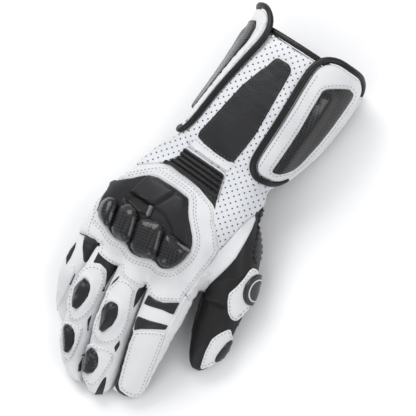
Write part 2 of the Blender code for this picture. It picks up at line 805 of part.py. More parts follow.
def angle_at(tube, y, x, near):
    """The angle on a tube's upper side at a place across it, by steps from a near angle."""
    low, high = near - 60.0, near + 60.0
    for _ in range(30):
        middle = (low + high) / 2
        if on_tube(tube, y, middle).x > x:
            low = middle
        else:
            high = middle
    return (low + high) / 2


def mound(name, tube, share, angle, width, length, height, under, look, levels, sides, steep=False):
    """A raised shape on an oval base. levels give its size and height, from the middle of the
    underside to the top. Where the tube's surface stands steep, its width is taken by angle."""
    centre_y = tube.at(share)
    centre_x = on_tube(tube, centre_y, angle).x
    ring = tube.ring(centre_y)
    degrees = math.degrees(width / (ring.half + ring.rise))
    rings = []
    for size, high in levels:
        points = []
        for k in range(sides):
            turn = 2 * math.pi * k / sides
            y = centre_y + length / 2 * size * math.sin(turn)
            if steep:
                a = angle + degrees * size * math.cos(turn)
            else:
                a = angle_at(tube, y, centre_x + width / 2 * size * math.cos(turn), angle)
            points.append(on_tube(tube, y, a, under + high * height))
        rings.append(points)
    return solid_loft(name, rings, look)


# Size and height of each level, from the middle of the underside out to the edge and up
UNDERSIDE = [(0.10, 0.0), (0.55, 0.0), (1.0, 0.0)]
ROUND_LEVELS = UNDERSIDE + [(1.0, 0.18), (0.88, 0.52), (0.62, 0.84), (0.10, 1.0)]
FACET_LEVELS = UNDERSIDE + [(1.0, 0.30), (0.70, 0.80), (0.12, 1.0)]
BUTTON_LEVELS = UNDERSIDE + [(1.0, 0.70), (0.84, 1.0), (0.10, 1.0)]


# How far along and how far outwards each edge of the mouth binding's section lies
MOUTH_EDGES = [
    (0.0, 0.0),
    (MOUTH_BINDING, 0.0),
    (MOUTH_BINDING, -LEATHER),
    (MOUTH_BINDING / 2, -LEATHER - MOUTH_BINDING / 5),
    (0.0, -LEATHER),
]


def mouth_binding(cuff):
    """The folded leather edge round the cuff's mouth."""
    start = cuff.end + JOINT_GAP
    rings = [ring_points(cuff, start + y, AROUND_CUFF, lift) for y, lift in MOUTH_EDGES]
    faces = []
    for k in range(len(rings)):
        faces += strip(k * AROUND_CUFF, (k + 1) % len(rings) * AROUND_CUFF, AROUND_CUFF)
    make_object("cuff_mouth_binding", [p for r in rings for p in r], faces, "black_leather")


def cuff_pieces(cuff):
    """The cuff's centre panel, patch, strap and the two side guards."""
    panel("cuff_centre_panel", cuff, CUFF_PANEL_ROWS, "white_leather")
    over = constant(2 * LAYER_GAP + PANEL)
    panel("cuff_patch", cuff, CUFF_PATCH_ROWS, "black_leather", over)
    first, last = STRAP_ANGLES
    edges = [cuff.share_of(cuff.start + STRAP_STEP + y) for y in (0.0, STRAP_WIDTH)]
    rows = [PanelRow(share, first, share, last) for share in edges]
    panel("wrist_strap", cuff, rows, "black_leather")

    sides = [
        ("thumb", THUMB_GUARD_ROWS, THUMB_PLATE_ROWS, guard_lift(-20, 62, THUMB_GUARD_FLARE)),
        ("little", LITTLE_GUARD_ROWS, LITTLE_PLATE_ROWS, guard_lift(200, 120, LITTLE_GUARD_FLARE)),
    ]
    for side, rows, plate_rows, lift in sides:
        on_guard = raised(lift, GUARD_THICKNESS + LAYER_GAP)
        panel(f"guard_{side}", cuff, rows, "white_leather", lift, GUARD_THICKNESS)
        binding(f"guard_{side}_binding", cuff, rows, lift, "black_leather")
        panel(f"guard_{side}_plate", cuff, plate_rows, "carbon", on_guard, PLATE_HEIGHT, 5)


def hand_pieces(hand):
    """The panels, accordions and knuckle armour sewn over the back of the hand."""
    ribbed_panel("wrist_accordion", hand, ACCORDION_ROWS, 5, "black_leather")
    ribbed_panel("thumb_accordion", hand, THUMB_ACCORDION_ROWS, 5, "black_leather", 4)
    panel("back_panel", hand, BACK_ROWS, "white_leather", columns=12)
    panel("vent_panel_thumb", hand, THUMB_VENT_ROWS, "white_leather")
    panel("vent_panel_little", hand, LITTLE_VENT_ROWS, "white_leather", columns=9)
    panel("side_strip", hand, SIDE_STRIP_ROWS, "white_leather", columns=3)
    on_back = 2 * LAYER_GAP + PANEL
    panel("knuckle_armour", hand, ARMOUR_ROWS, "black_plastic", constant(on_back), ARMOUR_BASE, 9)
    on_armour = on_back + ARMOUR_BASE + LAYER_GAP
    panel("armour_back_plate", hand, BACK_PLATE_ROWS, "black_plastic", constant(on_armour), PLATE_STEP, 5)
    for dome in DOMES:
        mound(
            f"armour_dome_{dome.name}", hand, dome.share, dome.angle, dome.width * DOME_WIDTH,
            dome.length * DOME_LENGTH, DOME_HEIGHT, on_armour, "carbon", ROUND_LEVELS, 12,
        )


def finger_pieces(index, middle, ring, little):
    """The panels and sliders sewn over the fingers."""
    panel("index_patch", index, INDEX_PATCH_ROWS, "black_leather")
    panel("index_band", index, INDEX_BAND_ROWS, "black_leather")
    panel("index_panel", index, INDEX_PANEL_ROWS, "white_leather")
    panel("middle_panel", middle, MIDDLE_PANEL_ROWS, "white_leather")
    panel("ring_panel", ring, RING_PANEL_ROWS, "white_leather")
    panel("little_panel", little, LITTLE_PANEL_ROWS, "white_leather", columns=5)
    on_panel = 2 * LAYER_GAP + PANEL
    sliders = [
        ("middle_slider_knuckle", Slider(middle, 0.46, 92, 1.00)),
        ("middle_slider_tip", Slider(middle, 0.79, 100, 0.78)),
        ("ring_slider_knuckle", Slider(ring, 0.41, 96, 1.00)),
        ("ring_slider_tip", Slider(ring, 0.75, 98, 0.84)),
    ]
    for name, (tube, share, angle, size) in sliders:
        mound(
            name, tube, share, angle, size * SLIDER_WIDTH, size * SLIDER_LENGTH,
            SLIDER_HEIGHT, on_panel, "carbon", FACET_LEVELS, 10,
        )


def thumb_pieces(thumb):
    """The two panels, the round badge and the slider sewn over the thumb."""
    on_panel = 2 * LAYER_GAP + PANEL
    panel("thumb_knuckle_panel", thumb, THUMB_KNUCKLE_ROWS, "white_leather")
    panel("thumb_tip_panel", thumb, THUMB_TIP_ROWS, "white_leather")
    mound(
        "thumb_badge", thumb, 0.445, 14, 2 * BADGE_RADIUS, 2 * BADGE_RADIUS, BADGE_HEIGHT,
        on_panel, "black_plastic", BUTTON_LEVELS, 16, steep=True,
    )
    mound(
        "thumb_slider", thumb, 0.82, 0, SLIDER_WIDTH, 0.68 * SLIDER_LENGTH, SLIDER_HEIGHT,
        on_panel, "carbon", FACET_LEVELS, 10, steep=True,
    )


def clear_scene():
    for obj in list(bpy.data.objects):
        bpy.data.objects.remove(obj)


clear_scene()
MATERIALS = {name: material(name) for name in COLOURS}

middle = Finger("middle", MIDDLE_WIDTH, MIDDLE_LENGTH)
index = Finger("index", INDEX_WIDTH, INDEX_LENGTH, middle, 1)
ring = Finger("ring", RING_WIDTH, RING_LENGTH, middle, -1)
little = Finger("little", LITTLE_WIDTH, LITTLE_LENGTH, ring, -1)
fingers = [index, middle, ring, little]
thumb = Thumb(index)
hand = Body(hand_sections(index, little), WRIST_Y, PALM_FRONT_Y)
cuff = Body(cuff_sections(hand), WRIST_Y, WRIST_Y + CUFF_LENGTH)

hand_shell(hand, fingers, thumb)
for finger in fingers:
    finger_shell("finger_" + finger.name, finger, FINGER_RINGS, "white_leather")
finger_shell("thumb", thumb, THUMB_RINGS, "black_leather")
cuff_shell(cuff)
mouth_binding(cuff)
cuff_pieces(cuff)
hand_pieces(hand)
finger_pieces(*fingers)
thumb_pieces(thumb)
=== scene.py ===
"""A white and black leather racing glove, sewn piece by piece round its fixed frame."""

import math

import bpy
import numpy as np
from mathutils import Matrix, Vector
from mathutils.bvhtree import BVHTree


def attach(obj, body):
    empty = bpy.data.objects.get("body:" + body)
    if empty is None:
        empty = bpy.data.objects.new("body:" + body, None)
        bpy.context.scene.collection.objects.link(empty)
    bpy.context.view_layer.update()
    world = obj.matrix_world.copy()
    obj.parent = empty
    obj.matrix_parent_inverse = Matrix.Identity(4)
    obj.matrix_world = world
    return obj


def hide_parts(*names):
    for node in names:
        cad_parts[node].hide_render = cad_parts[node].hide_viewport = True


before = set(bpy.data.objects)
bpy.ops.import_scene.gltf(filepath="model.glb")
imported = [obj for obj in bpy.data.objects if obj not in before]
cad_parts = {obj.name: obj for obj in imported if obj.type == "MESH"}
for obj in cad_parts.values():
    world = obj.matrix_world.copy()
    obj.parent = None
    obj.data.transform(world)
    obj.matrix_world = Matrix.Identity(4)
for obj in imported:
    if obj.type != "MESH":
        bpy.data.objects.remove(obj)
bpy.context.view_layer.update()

# Camera, floor and studio lights
# The glove lies palm down on a pale floor. The camera looks down on it from the fingers' side,
# turned so that the cuff points to the upper right, and three soft boxes light it.

TURN, TIP, ROLL = math.radians(22.5), math.radians(5.0), math.radians(27.0)
side = Vector((math.cos(TURN), 0, -math.sin(TURN)))
lean = Vector((math.sin(TURN), 0, math.cos(TURN)))
along = Vector((0, math.cos(TIP), 0)) + lean * math.sin(TIP)
toward = lean * math.cos(TIP) - Vector((0, math.sin(TIP), 0))
right = side * math.cos(ROLL) + along * math.sin(ROLL)
up = along * math.cos(ROLL) - side * math.sin(ROLL)
DISTANCE = 3.0
AIM_DROP = 0.00216        # the picture's middle lies this far below the origin
LENS_MM = 360.6
EYE = toward * DISTANCE - up * AIM_DROP

camera_data = bpy.data.cameras.new("camera")
camera_data.lens = LENS_MM
camera_data.clip_end = 20.0
camera = bpy.data.objects.new("camera", camera_data)
bpy.context.scene.collection.objects.link(camera)
facing = Matrix((right, up, toward)).transposed().to_4x4()
camera.matrix_world = Matrix.Translation(EYE) @ facing
bpy.context.scene.camera = camera


def deselect():
    for item in bpy.context.selected_objects:
        item.select_set(False)


def new_material(name):
    """A material with nodes: itself, its node tree and its shader."""
    made = bpy.data.materials.new(name)
    made.use_nodes = True
    return made, made.node_tree, made.node_tree.nodes["Principled BSDF"]


deselect()
bpy.ops.mesh.primitive_plane_add(size=8)
floor = bpy.context.object
floor.name = "floor"
floor_paper, _, paper_shader = new_material("floor_paper")
paper_shader.inputs["Base Color"].default_value = (0.93, 0.93, 0.935, 1)
paper_shader.inputs["Roughness"].default_value = 0.9
paper_shader.inputs["Specular IOR Level"].default_value = 0.1
floor.data.materials.append(floor_paper)

for place, size, power in (
    ((-0.8, 0.9, 1.3), 1.1, 18.0),
    ((1.2, 0.3, 1.3), 0.9, 9.0),
    ((-0.2, -1.4, 0.9), 0.8, 5.0),
):
    bpy.ops.object.light_add(type="AREA", location=place)
    lamp = bpy.context.object
    lamp.data.size = size
    lamp.data.energy = power
    lamp.rotation_euler = (-Vector(place)).to_track_quat("-Z", "Y").to_euler()

studio = bpy.data.worlds.new("studio")
studio.use_nodes = True
studio.node_tree.nodes["Background"].inputs["Color"].default_value = (0.97, 0.98, 1.0, 1)
studio.node_tree.nodes["Background"].inputs["Strength"].default_value = 0.6
bpy.context.scene.world = studio
bpy.context.scene.view_settings.view_transform = "Standard"

# Leather shells: hand, four fingers and thumb
# Soft goatskin, cut and sewn as hollow tubes: white over the back and sides, black over the
# palm. Each shell is the sewn form smoothed, with small slack folds across it.

WHITE, BLACK, PALM = (0.70, 0.705, 0.715), (0.019, 0.0195, 0.021), (0.009, 0.0092, 0.01)


def fed(tree, kind, place, **values):
    """A node fed with coordinates, with these values on its sockets."""
    made = tree.nodes.new(kind)
    for name, value in values.items():
        made.inputs[name].default_value = value
    tree.links.new(place, made.inputs["Vector"])
    return made


def mixed(tree, factor, low, high):
    """A colour between low and high. Each of them is a colour or a socket."""
    blend = tree.nodes.new("ShaderNodeMix")
    blend.data_type = "RGBA"
    for socket, value in ((blend.inputs["A"], low), (blend.inputs["B"], high)):
        if isinstance(value, tuple):
            socket.default_value = (*value, 1)
        else:
            tree.links.new(value, socket)
    tree.links.new(factor, blend.inputs["Factor"])
    return blend.outputs["Result"]


def bumped(tree, height, strength, distance, under=None):
    """The normal of a bump, over the bump under it."""
    bump = tree.nodes.new("ShaderNodeBump")
    bump.inputs["Strength"].default_value = strength
    bump.inputs["Distance"].default_value = distance
    tree.links.new(height, bump.inputs["Height"])
    if under is not None:
        tree.links.new(under, bump.inputs["Normal"])
    return bump.outputs["Normal"]


def figure(tree, operation, *values):
    """A math node on sockets or numbers."""
    node = tree.nodes.new("ShaderNodeMath")
    node.operation = operation
    for socket, value in zip(node.inputs, values):
        if isinstance(value, (int, float)):
            socket.default_value = value
        else:
            tree.links.new(value, socket)
    return node.outputs[0]


def ramp(tree, value, low, high):
    """From 0 at low to 1 at high."""
    slope = tree.nodes.new("ShaderNodeMapRange")
    slope.inputs["From Min"].default_value = low
    slope.inputs["From Max"].default_value = high
    tree.links.new(value, slope.inputs["Value"])
    return slope.outputs["Result"]


def leather(name, colour, dark, roughness, grain=0.0009, depth=0.25, under=None):
    """Grained leather. Past the seam that a piece carries as "palm", it has the colour under."""
    made, tree, shader = new_material(name)
    place = tree.nodes.new("ShaderNodeTexCoord").outputs["Object"]
    cells = fed(tree, "ShaderNodeTexVoronoi", place, Scale=1 / grain)
    cells.feature = "SMOOTH_F1"
    folds = fed(tree, "ShaderNodeTexNoise", place, Scale=95, Detail=4, Distortion=0.6)
    tone = fed(tree, "ShaderNodeTexNoise", place, Scale=26, Detail=3)
    surface = mixed(tree, ramp(tree, tone.outputs["Fac"], 0.32, 0.52), dark, colour)
    fine = bumped(tree, cells.outputs["Distance"], depth, 0.0003)
    normal = bumped(tree, folds.outputs["Fac"], 0.35, 0.0012, fine)
    if under:
        seam = tree.nodes.new("ShaderNodeAttribute")
        seam.attribute_name = "palm"
        past = figure(tree, "GREATER_THAN", seam.outputs["Fac"], 0.0)
        surface = mixed(tree, past, surface, under)
        normal = bumped(tree, past, 0.8, 0.0008, normal)
    tree.links.new(surface, shader.inputs["Base Color"])
    tree.links.new(normal, shader.inputs["Normal"])
    shader.inputs["Roughness"].default_value = roughness
    shader.inputs["Specular IOR Level"].default_value = 0.3
    return made


def select_only(piece):
    deselect()
    piece.select_set(True)
    bpy.context.view_layer.objects.active = piece


def apply(piece, kind, **settings):
    """Adds a modifier, sets it and applies it."""
    select_only(piece)
    step = piece.modifiers.new(kind.lower(), kind)
    for key, value in settings.items():
        setattr(step, key, value)
    bpy.ops.object.modifier_apply(modifier=step.name)


def sewn_form(name, node, levels=2):
    """A copy of a frame node, its loose triangles merged, paired into quads and smoothed."""
    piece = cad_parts[node].copy()
    piece.data = piece.data.copy()
    piece.name = piece.data.name = name
    for key in list(piece.keys()):
        del piece[key]
    piece.parent = None
    bpy.context.scene.collection.objects.link(piece)
    piece.data.materials.clear()
    select_only(piece)
    bpy.ops.object.mode_set(mode="EDIT")
    bpy.ops.mesh.select_all(action="SELECT")
    bpy.ops.mesh.remove_doubles(threshold=0.00002)
    bpy.ops.mesh.customdata_custom_splitnormals_clear()
    bpy.ops.mesh.tris_convert_to_quads(face_threshold=math.pi, shape_threshold=math.pi)
    bpy.ops.object.mode_set(mode="OBJECT")
    if levels:
        apply(piece, "SUBSURF", levels=levels, render_levels=levels)
    bpy.ops.object.shade_smooth()
    return piece


def finish_piece(piece, material, slot, *nodes):
    """Gives a finished piece its leather, ties it to the root and hides the frame nodes that it
    replaces.
    """
    if not piece.data.materials:
        piece.data.materials.append(material)
    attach(piece, "root")
    if nodes:
        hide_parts(*nodes)
    return piece


NEARER = 0.985            # the gusset is nearer the camera than the floor, so it is drawn smaller
GUSSET_TOP = 23           # it ends here, below the wrist seam
GUSSET_SEAM = ((36, 24), (34, 20), (33, 10), (35, 5), (36, 0), (36, -10), (35, -25), (33, -33),
               (30, -42), (27, -51), (25, -58), (23.5, -66), (20, -75))


def mark_palm(piece, level, gusset=False):
    """Writes how far each point lies past the seam between the white back and black leather."""
    normals = np.zeros(len(piece.data.vertices) * 3, np.float32)
    piece.data.vertices.foreach_get("normal", normals)
    past = level - normals.reshape(-1, 3)[:, 2]
    if gusset:
        seam_y = [p[1] * NEARER for p in GUSSET_SEAM[::-1]]
        seam_x = [p[0] * NEARER for p in GUSSET_SEAM[::-1]]
        for k, vertex in enumerate(piece.data.vertices):
            x, y = vertex.co.dot(side) * 1000, vertex.co.dot(along) * 1000
            if y < GUSSET_TOP:
                past[k] = max(past[k], (x - np.interp(y, seam_y, seam_x)) / 10)
    field = piece.data.attributes.new("palm", "FLOAT", "POINT")
    field.data.foreach_set("value", past.astype(np.float32))


def crease(piece, size, depth, seed):
    """Slack leather: a slow uneven swell of the surface, different on each piece."""
    cloud = bpy.data.textures.new("slack", "CLOUDS")
    cloud.noise_scale = size
    cloud.noise_depth = 2
    guide = bpy.data.objects.new("slack_guide", None)
    guide.location = (seed * 0.37, seed * 0.21, 0)
    bpy.context.scene.collection.objects.link(guide)
    apply(piece, "DISPLACE", texture=cloud, texture_coords="OBJECT", texture_coords_object=guide,
          strength=depth, mid_level=0.5)
    bpy.data.objects.remove(guide)


white_leather = leather("white_leather", WHITE, (0.63, 0.64, 0.655), 0.46)
shell_leather = leather("shell_leather", WHITE, (0.60, 0.61, 0.63), 0.48, under=PALM)
black_leather = leather("black_leather", BLACK, (0.012, 0.0125, 0.0135), 0.43, grain=0.0011,
                        depth=0.4)
palm_leather = leather("palm_leather", PALM, (0.006, 0.0062, 0.007), 0.5, grain=0.0011, depth=0.4)

hand = sewn_form("hand_leather", "hand", 0)
apply(hand, "REMESH", mode="VOXEL", voxel_size=0.0013)
apply(hand, "SMOOTH", factor=0.5, iterations=24)
crease(hand, 0.016, 0.0011, 1)
bpy.ops.object.shade_smooth()
mark_palm(hand, -0.35, gusset=True)
finish_piece(hand, shell_leather, "white_leather", "hand")

fingers = {}
for seed, finger in enumerate(("index", "middle", "ring", "little"), 2):
    shell = sewn_form(f"{finger}_finger_leather", f"finger_{finger}")
    crease(shell, 0.010, 0.0010, seed)
    mark_palm(shell, -0.30)
    fingers[finger] = finish_piece(shell, shell_leather, "white_leather", f"finger_{finger}")

thumb = sewn_form("thumb_leather", "thumb")
crease(thumb, 0.012, 0.0010, 7)
finish_piece(thumb, palm_leather, "black_leather", "thumb")

# Gauntlet cuff
# One wrapped piece of white leather, lined in black, open at the wrist seam and at its mouth,
# where a folded black binding goes all round.

lining = leather("lining", (0.03, 0.03, 0.033), (0.02, 0.02, 0.022), 0.8, grain=0.0014, depth=0.6)
cuff = sewn_form("cuff_leather", "cuff")
crease(cuff, 0.02, 0.0009, 8)
cuff.data.materials.append(shell_leather)
cuff.data.materials.append(lining)
mark_palm(cuff, -0.45)
WRIST_AT, CUFF_LEAN = (0.011, 0.038, 0.030), 0.23
for face in cuff.data.polygons:
    y = face.center.y
    middle = Vector((WRIST_AT[0] + (y - WRIST_AT[1]) * CUFF_LEAN, y, WRIST_AT[2]))
    if face.normal.dot(face.center - middle) < 0:
        face.material_index = 1
finish_piece(cuff, shell_leather, "white_leather", "cuff")

black_binding = leather("black_binding", (0.009, 0.009, 0.0098), (0.006, 0.006, 0.0065), 0.40,
                        depth=0.3)
mouth = sewn_form("cuff_mouth_binding_roll", "cuff_mouth_binding")
finish_piece(mouth, black_binding, "black_binding", "cuff_mouth_binding")

# Cutting table
# Every flat piece of leather or plastic is cut to its outline, in millimetres across and along
# the glove as the camera sees it, and then laid down the line of sight onto what carries it.

FRONT = (EYE, side, along)
TRACE = 0.5               # between the points of a traced outline


def side_sight(turn, sign):
    """A line of sight square to one side of the glove, from turn degrees above the floor."""
    out = Vector((sign * math.cos(math.radians(turn)), 0, math.sin(math.radians(turn))))
    down = Vector((0, 1, 0))
    return out * DISTANCE, down.cross(out), down


LITTLE_SIDE, THUMB_SIGHT = side_sight(20, -1), side_sight(20, 1)


def form_of(*pieces):
    """One search tree over the pieces that a cut is laid on."""
    points, faces = [], []
    for piece in pieces:
        start = len(points)
        points += [v.co.copy() for v in piece.data.vertices]
        faces += [[start + k for k in p.vertices] for p in piece.data.polygons]
    return BVHTree.FromPolygons(points, faces)


def spaced(line, pitch, closed):
    """Points at an even pitch along a line."""
    line = np.asarray(line, float)
    if closed:
        line = np.vstack([line, line[:1]])
    run = np.concatenate([[0], np.cumsum(np.linalg.norm(np.diff(line, axis=0), axis=1))])
    at = np.arange(pitch / 2, run[-1], pitch)
    return np.stack([np.interp(at, run, line[:, k]) for k in (0, 1)], 1)


def softened(outline, corner=2.0):
    """The outline with its corners rounded off, as a close line of points."""
    dense = spaced(outline, TRACE, True)
    reach = max(1, round(corner / TRACE))
    kernel = np.ones(2 * reach + 1) / (2 * reach + 1)
    padded = np.concatenate([dense[-reach:], dense, dense[:reach]])
    return np.stack([np.convolve(padded[:, k], kernel, "valid") for k in (0, 1)], 1)


def cut(name, outline, corner=1.5, grid=2.0, rims=(0.5, 0.9)):
    """A flat piece with rounded corners, one or two lines inside its edge, and a grid over it."""
    turned = sum(a[0] * b[1] - b[0] * a[1] for a, b in zip(outline, outline[1:] + outline[:1]))
    points = softened(outline, corner)[::2]
    if turned < 0:
        points = points[::-1]
    deselect()
    bpy.ops.mesh.primitive_circle_add(vertices=len(points), fill_type="NGON")
    piece = bpy.context.object
    piece.name = piece.data.name = name
    for vertex, (x, y) in zip(piece.data.vertices, points):
        vertex.co = (x / 1000, y / 1000, 0)
    bpy.ops.object.mode_set(mode="EDIT")
    bpy.ops.mesh.select_all(action="SELECT")
    for rim in rims:
        bpy.ops.mesh.inset(thickness=rim / 1000)
    for axis, span in ((0, [p[0] for p in points]), (1, [p[1] for p in points])):
        plane = Vector((axis == 0, axis == 1, 0))
        for k in range(math.ceil(min(span) / grid), math.floor(max(span) / grid) + 1):
            bpy.ops.mesh.select_all(action="SELECT")
            bpy.ops.mesh.bisect(plane_co=plane * (k * grid / 1000), plane_no=plane)
    bpy.ops.mesh.select_all(action="SELECT")
    bpy.ops.mesh.remove_doubles(threshold=0.00012)
    bpy.ops.object.mode_set(mode="OBJECT")
    return piece


def to_edges(points, start, step):
    """How far each flat point lies from the nearest of some straight edges, in millimetres."""
    gap = points[:, None] - start[None]
    t = np.clip((gap * step).sum(2) / np.maximum((step**2).sum(1), 1e-9), 0, 1)
    return np.sqrt(((gap - t[..., None] * step) ** 2).sum(2)).min(1)


def to_line(points, line, closed=True):
    """The same, from a line of points."""
    line = np.asarray(line, float)
    start = line if closed else line[:-1]
    return to_edges(points, start, (np.roll(line, -1, 0) if closed else line[1:]) - start)


def inside(points, outline):
    """Which flat points lie inside an outline."""
    x, y = points[:, 0], points[:, 1]
    found = np.zeros(len(points), bool)
    for (ax, ay), (bx, by) in zip(outline, outline[1:] + outline[:1]):
        if ay != by:
            found ^= ((ay > y) != (by > y)) & (x < (bx - ax) * (y - ay) / (by - ay) + ax)
    return found


def rise(distance, width):
    """From 0 at a line to 1 at width from it, as a rolled edge does."""
    t = np.clip(distance / width, 0, 1)
    return np.sqrt(np.maximum(1 - (1 - t) ** 2, 0))


def rim_of(mesh):
    """The edges round a flat piece, each as its two points."""
    count = {}
    for face in mesh.polygons:
        for key in face.edge_keys:
            count[key] = count.get(key, 0) + 1
    return [key for key, uses in count.items() if uses == 1]


SMOOTHINGS = 10           # of what is wrapped round the side


def lay(piece, form, view=FRONT, ease=2, bridge=0):
    """Lays a flat piece on a form along a line of sight. What misses it is wrapped on round it.

    The leather bridges narrow gaps under it and is then eased a little."""
    eye, across, down = view
    out = across.cross(down)
    mesh = piece.data
    flat = [v.co.copy() for v in mesh.vertices]
    near = [[] for _ in flat]
    for edge in mesh.edges:
        a, b = edge.vertices
        near[a].append(b)
        near[b].append(a)
    place = [None] * len(flat)
    for k, point in enumerate(flat):
        aim = across * point.x + down * point.y
        place[k] = form.ray_cast(eye, (aim - eye).normalized())[0]
    queue = [k for k, found in enumerate(place) if found is not None]
    if not queue:
        aims = [across * p.x + down * p.y for p in flat]
        first = min(range(len(flat)), key=lambda k: form.find_nearest(aims[k] + out * 0.02)[3])
        place[first] = form.find_nearest(aims[first] + out * 0.02)[0]
        queue = [first]
    fallen = set()
    while queue:
        later = []
        for k in queue:
            for other in near[k]:
                if place[other] is None:
                    step = flat[other] - flat[k]
                    guess = place[k] + (across * step.x + down * step.y) * 0.5 - out * step.length
                    place[other] = form.find_nearest(guess)[0]
                    fallen.add(other)
                    later.append(other)
        queue = later
    beside = list(near)
    rim = {}
    for a, b in rim_of(mesh):
        rim.setdefault(a, []).append(b)
        rim.setdefault(b, []).append(a)
    for k, others in rim.items():
        beside[k] = others
    for _ in range(SMOOTHINGS):
        moved = {k: sum((place[n] for n in beside[k]), Vector()) / len(beside[k]) for k in fallen}
        for k, spot in moved.items():
            place[k] = form.find_nearest((place[k] + spot) / 2)[0]
    depth = np.array([p.dot(out) for p in place])
    for turn in range(bridge + ease):
        mean = np.array([depth[beside[k]].mean() if beside[k] else depth[k]
                         for k in range(len(depth))])
        depth = np.maximum(depth, mean) if turn < bridge else 0.5 * depth + 0.5 * mean
    for k, vertex in enumerate(mesh.vertices):
        vertex.co = place[k] + out * (depth[k] - place[k].dot(out))
    mesh.update()
    return near


PUCKER = 0.13             # depth of the waves that the thread pulls along an edge


def sew(name, outline, form, material, slot, nodes=(), proud=1.1, roll=1.6, sink=0.5, thick=1.0,
        relief=None, view=FRONT, ease=2, bridge=0, angle=None, **shape):
    """A piece cut, laid, raised from its edge inwards, given its thickness and fastened.

    Raised panels of leather are also puckered a little along their edge."""
    piece = cut(name, outline, **shape)
    mesh = piece.data
    flat = np.array([v.co.xy for v in mesh.vertices]) * 1000
    rim = rim_of(mesh)
    a, b = flat[[k[0] for k in rim]], flat[[k[1] for k in rim]]
    edge = to_edges(flat, a, b - a)
    uv = mesh.uv_layers[0] if mesh.uv_layers else mesh.uv_layers.new(name="UVMap")
    for loop in mesh.loops:
        uv.data[loop.index].uv = flat[loop.vertex_index] / 10
    near = lay(piece, form, view, ease, bridge)
    normal = np.array([v.normal for v in mesh.vertices])
    for _ in range(3):
        normal = np.array([normal[k] + normal[near[k]].mean(0) if near[k] else normal[k]
                           for k in range(len(normal))])
        normal /= np.maximum(np.linalg.norm(normal, axis=1, keepdims=True), 1e-9)
    height = -sink + (proud + sink) * rise(edge, roll)
    if relief is not None:
        height = height + relief(flat, edge)
    if material in (white_leather, black_leather) and proud > 0.9:
        path = softened(outline, 1.0)
        run = np.array([((path - p) ** 2).sum(1).argmin() for p in flat]) * TRACE
        pull = np.sin(run * 1.13) + np.sin(run * 0.71 + 1.3) + 0.6 * np.sin(run * 2.3)
        height = height + PUCKER * pull * np.exp(-np.maximum(edge - 1.5, 0) / 3.5) * rise(edge, 2.0)
    for k, vertex in enumerate(mesh.vertices):
        vertex.co += Vector(normal[k] * height[k] / 1000)
    apply(piece, "SOLIDIFY", thickness=thick / 1000, offset=-1)
    if angle:
        bpy.ops.object.shade_smooth_by_angle(angle=math.radians(angle))
    else:
        bpy.ops.object.shade_smooth()
    return finish_piece(piece, material, slot, *nodes)


def inset_line(outline, inset):
    """A line that runs inside the outline at a distance from it, or outside it below zero."""
    line = softened(outline)
    turned = (line[:, 0] * np.roll(line[:, 1], -1) - np.roll(line[:, 0], -1) * line[:, 1]).sum()
    step = np.roll(line, -1, 0) - np.roll(line, 1, 0)
    step /= np.maximum(np.linalg.norm(step, axis=1, keepdims=True), 1e-9)
    inward = np.stack([-step[:, 1], step[:, 0]], 1) * (1 if turned > 0 else -1)
    moved = line + inward * inset
    clear = to_line(moved, line) > abs(inset) - 0.2
    return moved[clear]


deselect()
bpy.ops.mesh.primitive_uv_sphere_add(segments=6, ring_count=4, radius=0.5)
stitch = bpy.context.object
stitch_points = np.array([v.co for v in stitch.data.vertices])
stitch_faces = [list(p.vertices) for p in stitch.data.polygons]
bpy.data.objects.remove(stitch)


def twisted(name, tone, dark):
    """Plied sewing thread."""
    made, tree, shader = new_material(name)
    place = tree.nodes.new("ShaderNodeTexCoord").outputs["Object"]
    ply = fed(tree, "ShaderNodeTexWave", place, Scale=900)
    shade = mixed(tree, ply.outputs["Fac"], (dark, dark, dark * 1.02), (tone, tone, tone * 1.03))
    tree.links.new(shade, shader.inputs["Base Color"])
    shader.inputs["Roughness"].default_value = 0.7
    return made


# The white thread is drawn mid grey, far darker than the white leather it is sewn into: its grey is
# painted shade along the stitch rows.
white_thread_in_painted_shade = twisted("white_thread_in_painted_shade", 0.40, 0.27)
black_thread = twisted("black_thread", 0.085, 0.03)
THREAD_WIDTH, THREAD_HEIGHT, THREAD_LIFT = 0.00062, 0.00055, 0.00008


def stitches(name, lines, form, thread=white_thread_in_painted_shade, pitch=2.7, long=1.9, closed=True):
    """Rows of stitches, each lying in the leather where the camera's sight meets the form."""
    points, faces = [], []
    for line in lines:
        places = []
        for x, y in spaced(line, pitch, closed):
            aim = side * x / 1000 + along * y / 1000
            hit, normal, _, _ = form.ray_cast(EYE, (aim - EYE).normalized())
            places.append((hit, normal))
        for (spot, normal), (after, _) in zip(places, places[1:] + places[:1]):
            if spot is None or after is None or (after - spot).length > pitch * 0.0022:
                continue
            ahead = (after - spot).normalized()
            if normal.dot(EYE) < 0:
                normal = -normal
            beside = normal.cross(ahead).normalized()
            turn = np.array([ahead * long / 1000, beside * THREAD_WIDTH, normal * THREAD_HEIGHT])
            start = len(points)
            points += list(stitch_points @ turn + np.array(spot + normal * THREAD_LIFT))
            faces += [[start + k for k in f] for f in stitch_faces]
    mesh = bpy.data.meshes.new(name)
    mesh.from_pydata([tuple(p) for p in points], [], faces)
    piece = bpy.data.objects.new(name, mesh)
    bpy.context.scene.collection.objects.link(piece)
    select_only(piece)
    bpy.ops.object.shade_smooth()
    finish_piece(piece, thread, "black_binding")


skin = form_of(hand, *fingers.values(), thumb, cuff)

# Cuff: perforated centre panel and bare black patch
# The white centre panel is punched with small air holes and runs between the two side guards.
# A long black leather patch is sewn on it.

HOLE_PITCH = 3.9          # in each row


def flat_place(tree, turn, cell):
    """The piece's own flat map, turned, in cells of this many millimetres."""
    flat_map = tree.nodes.new("ShaderNodeUVMap")
    flat_map.uv_map = "UVMap"
    return fed(tree, "ShaderNodeMapping", flat_map.outputs["UV"],
               Rotation=(0, 0, math.radians(turn)), Scale=(10 / cell, 10 / cell, 1))


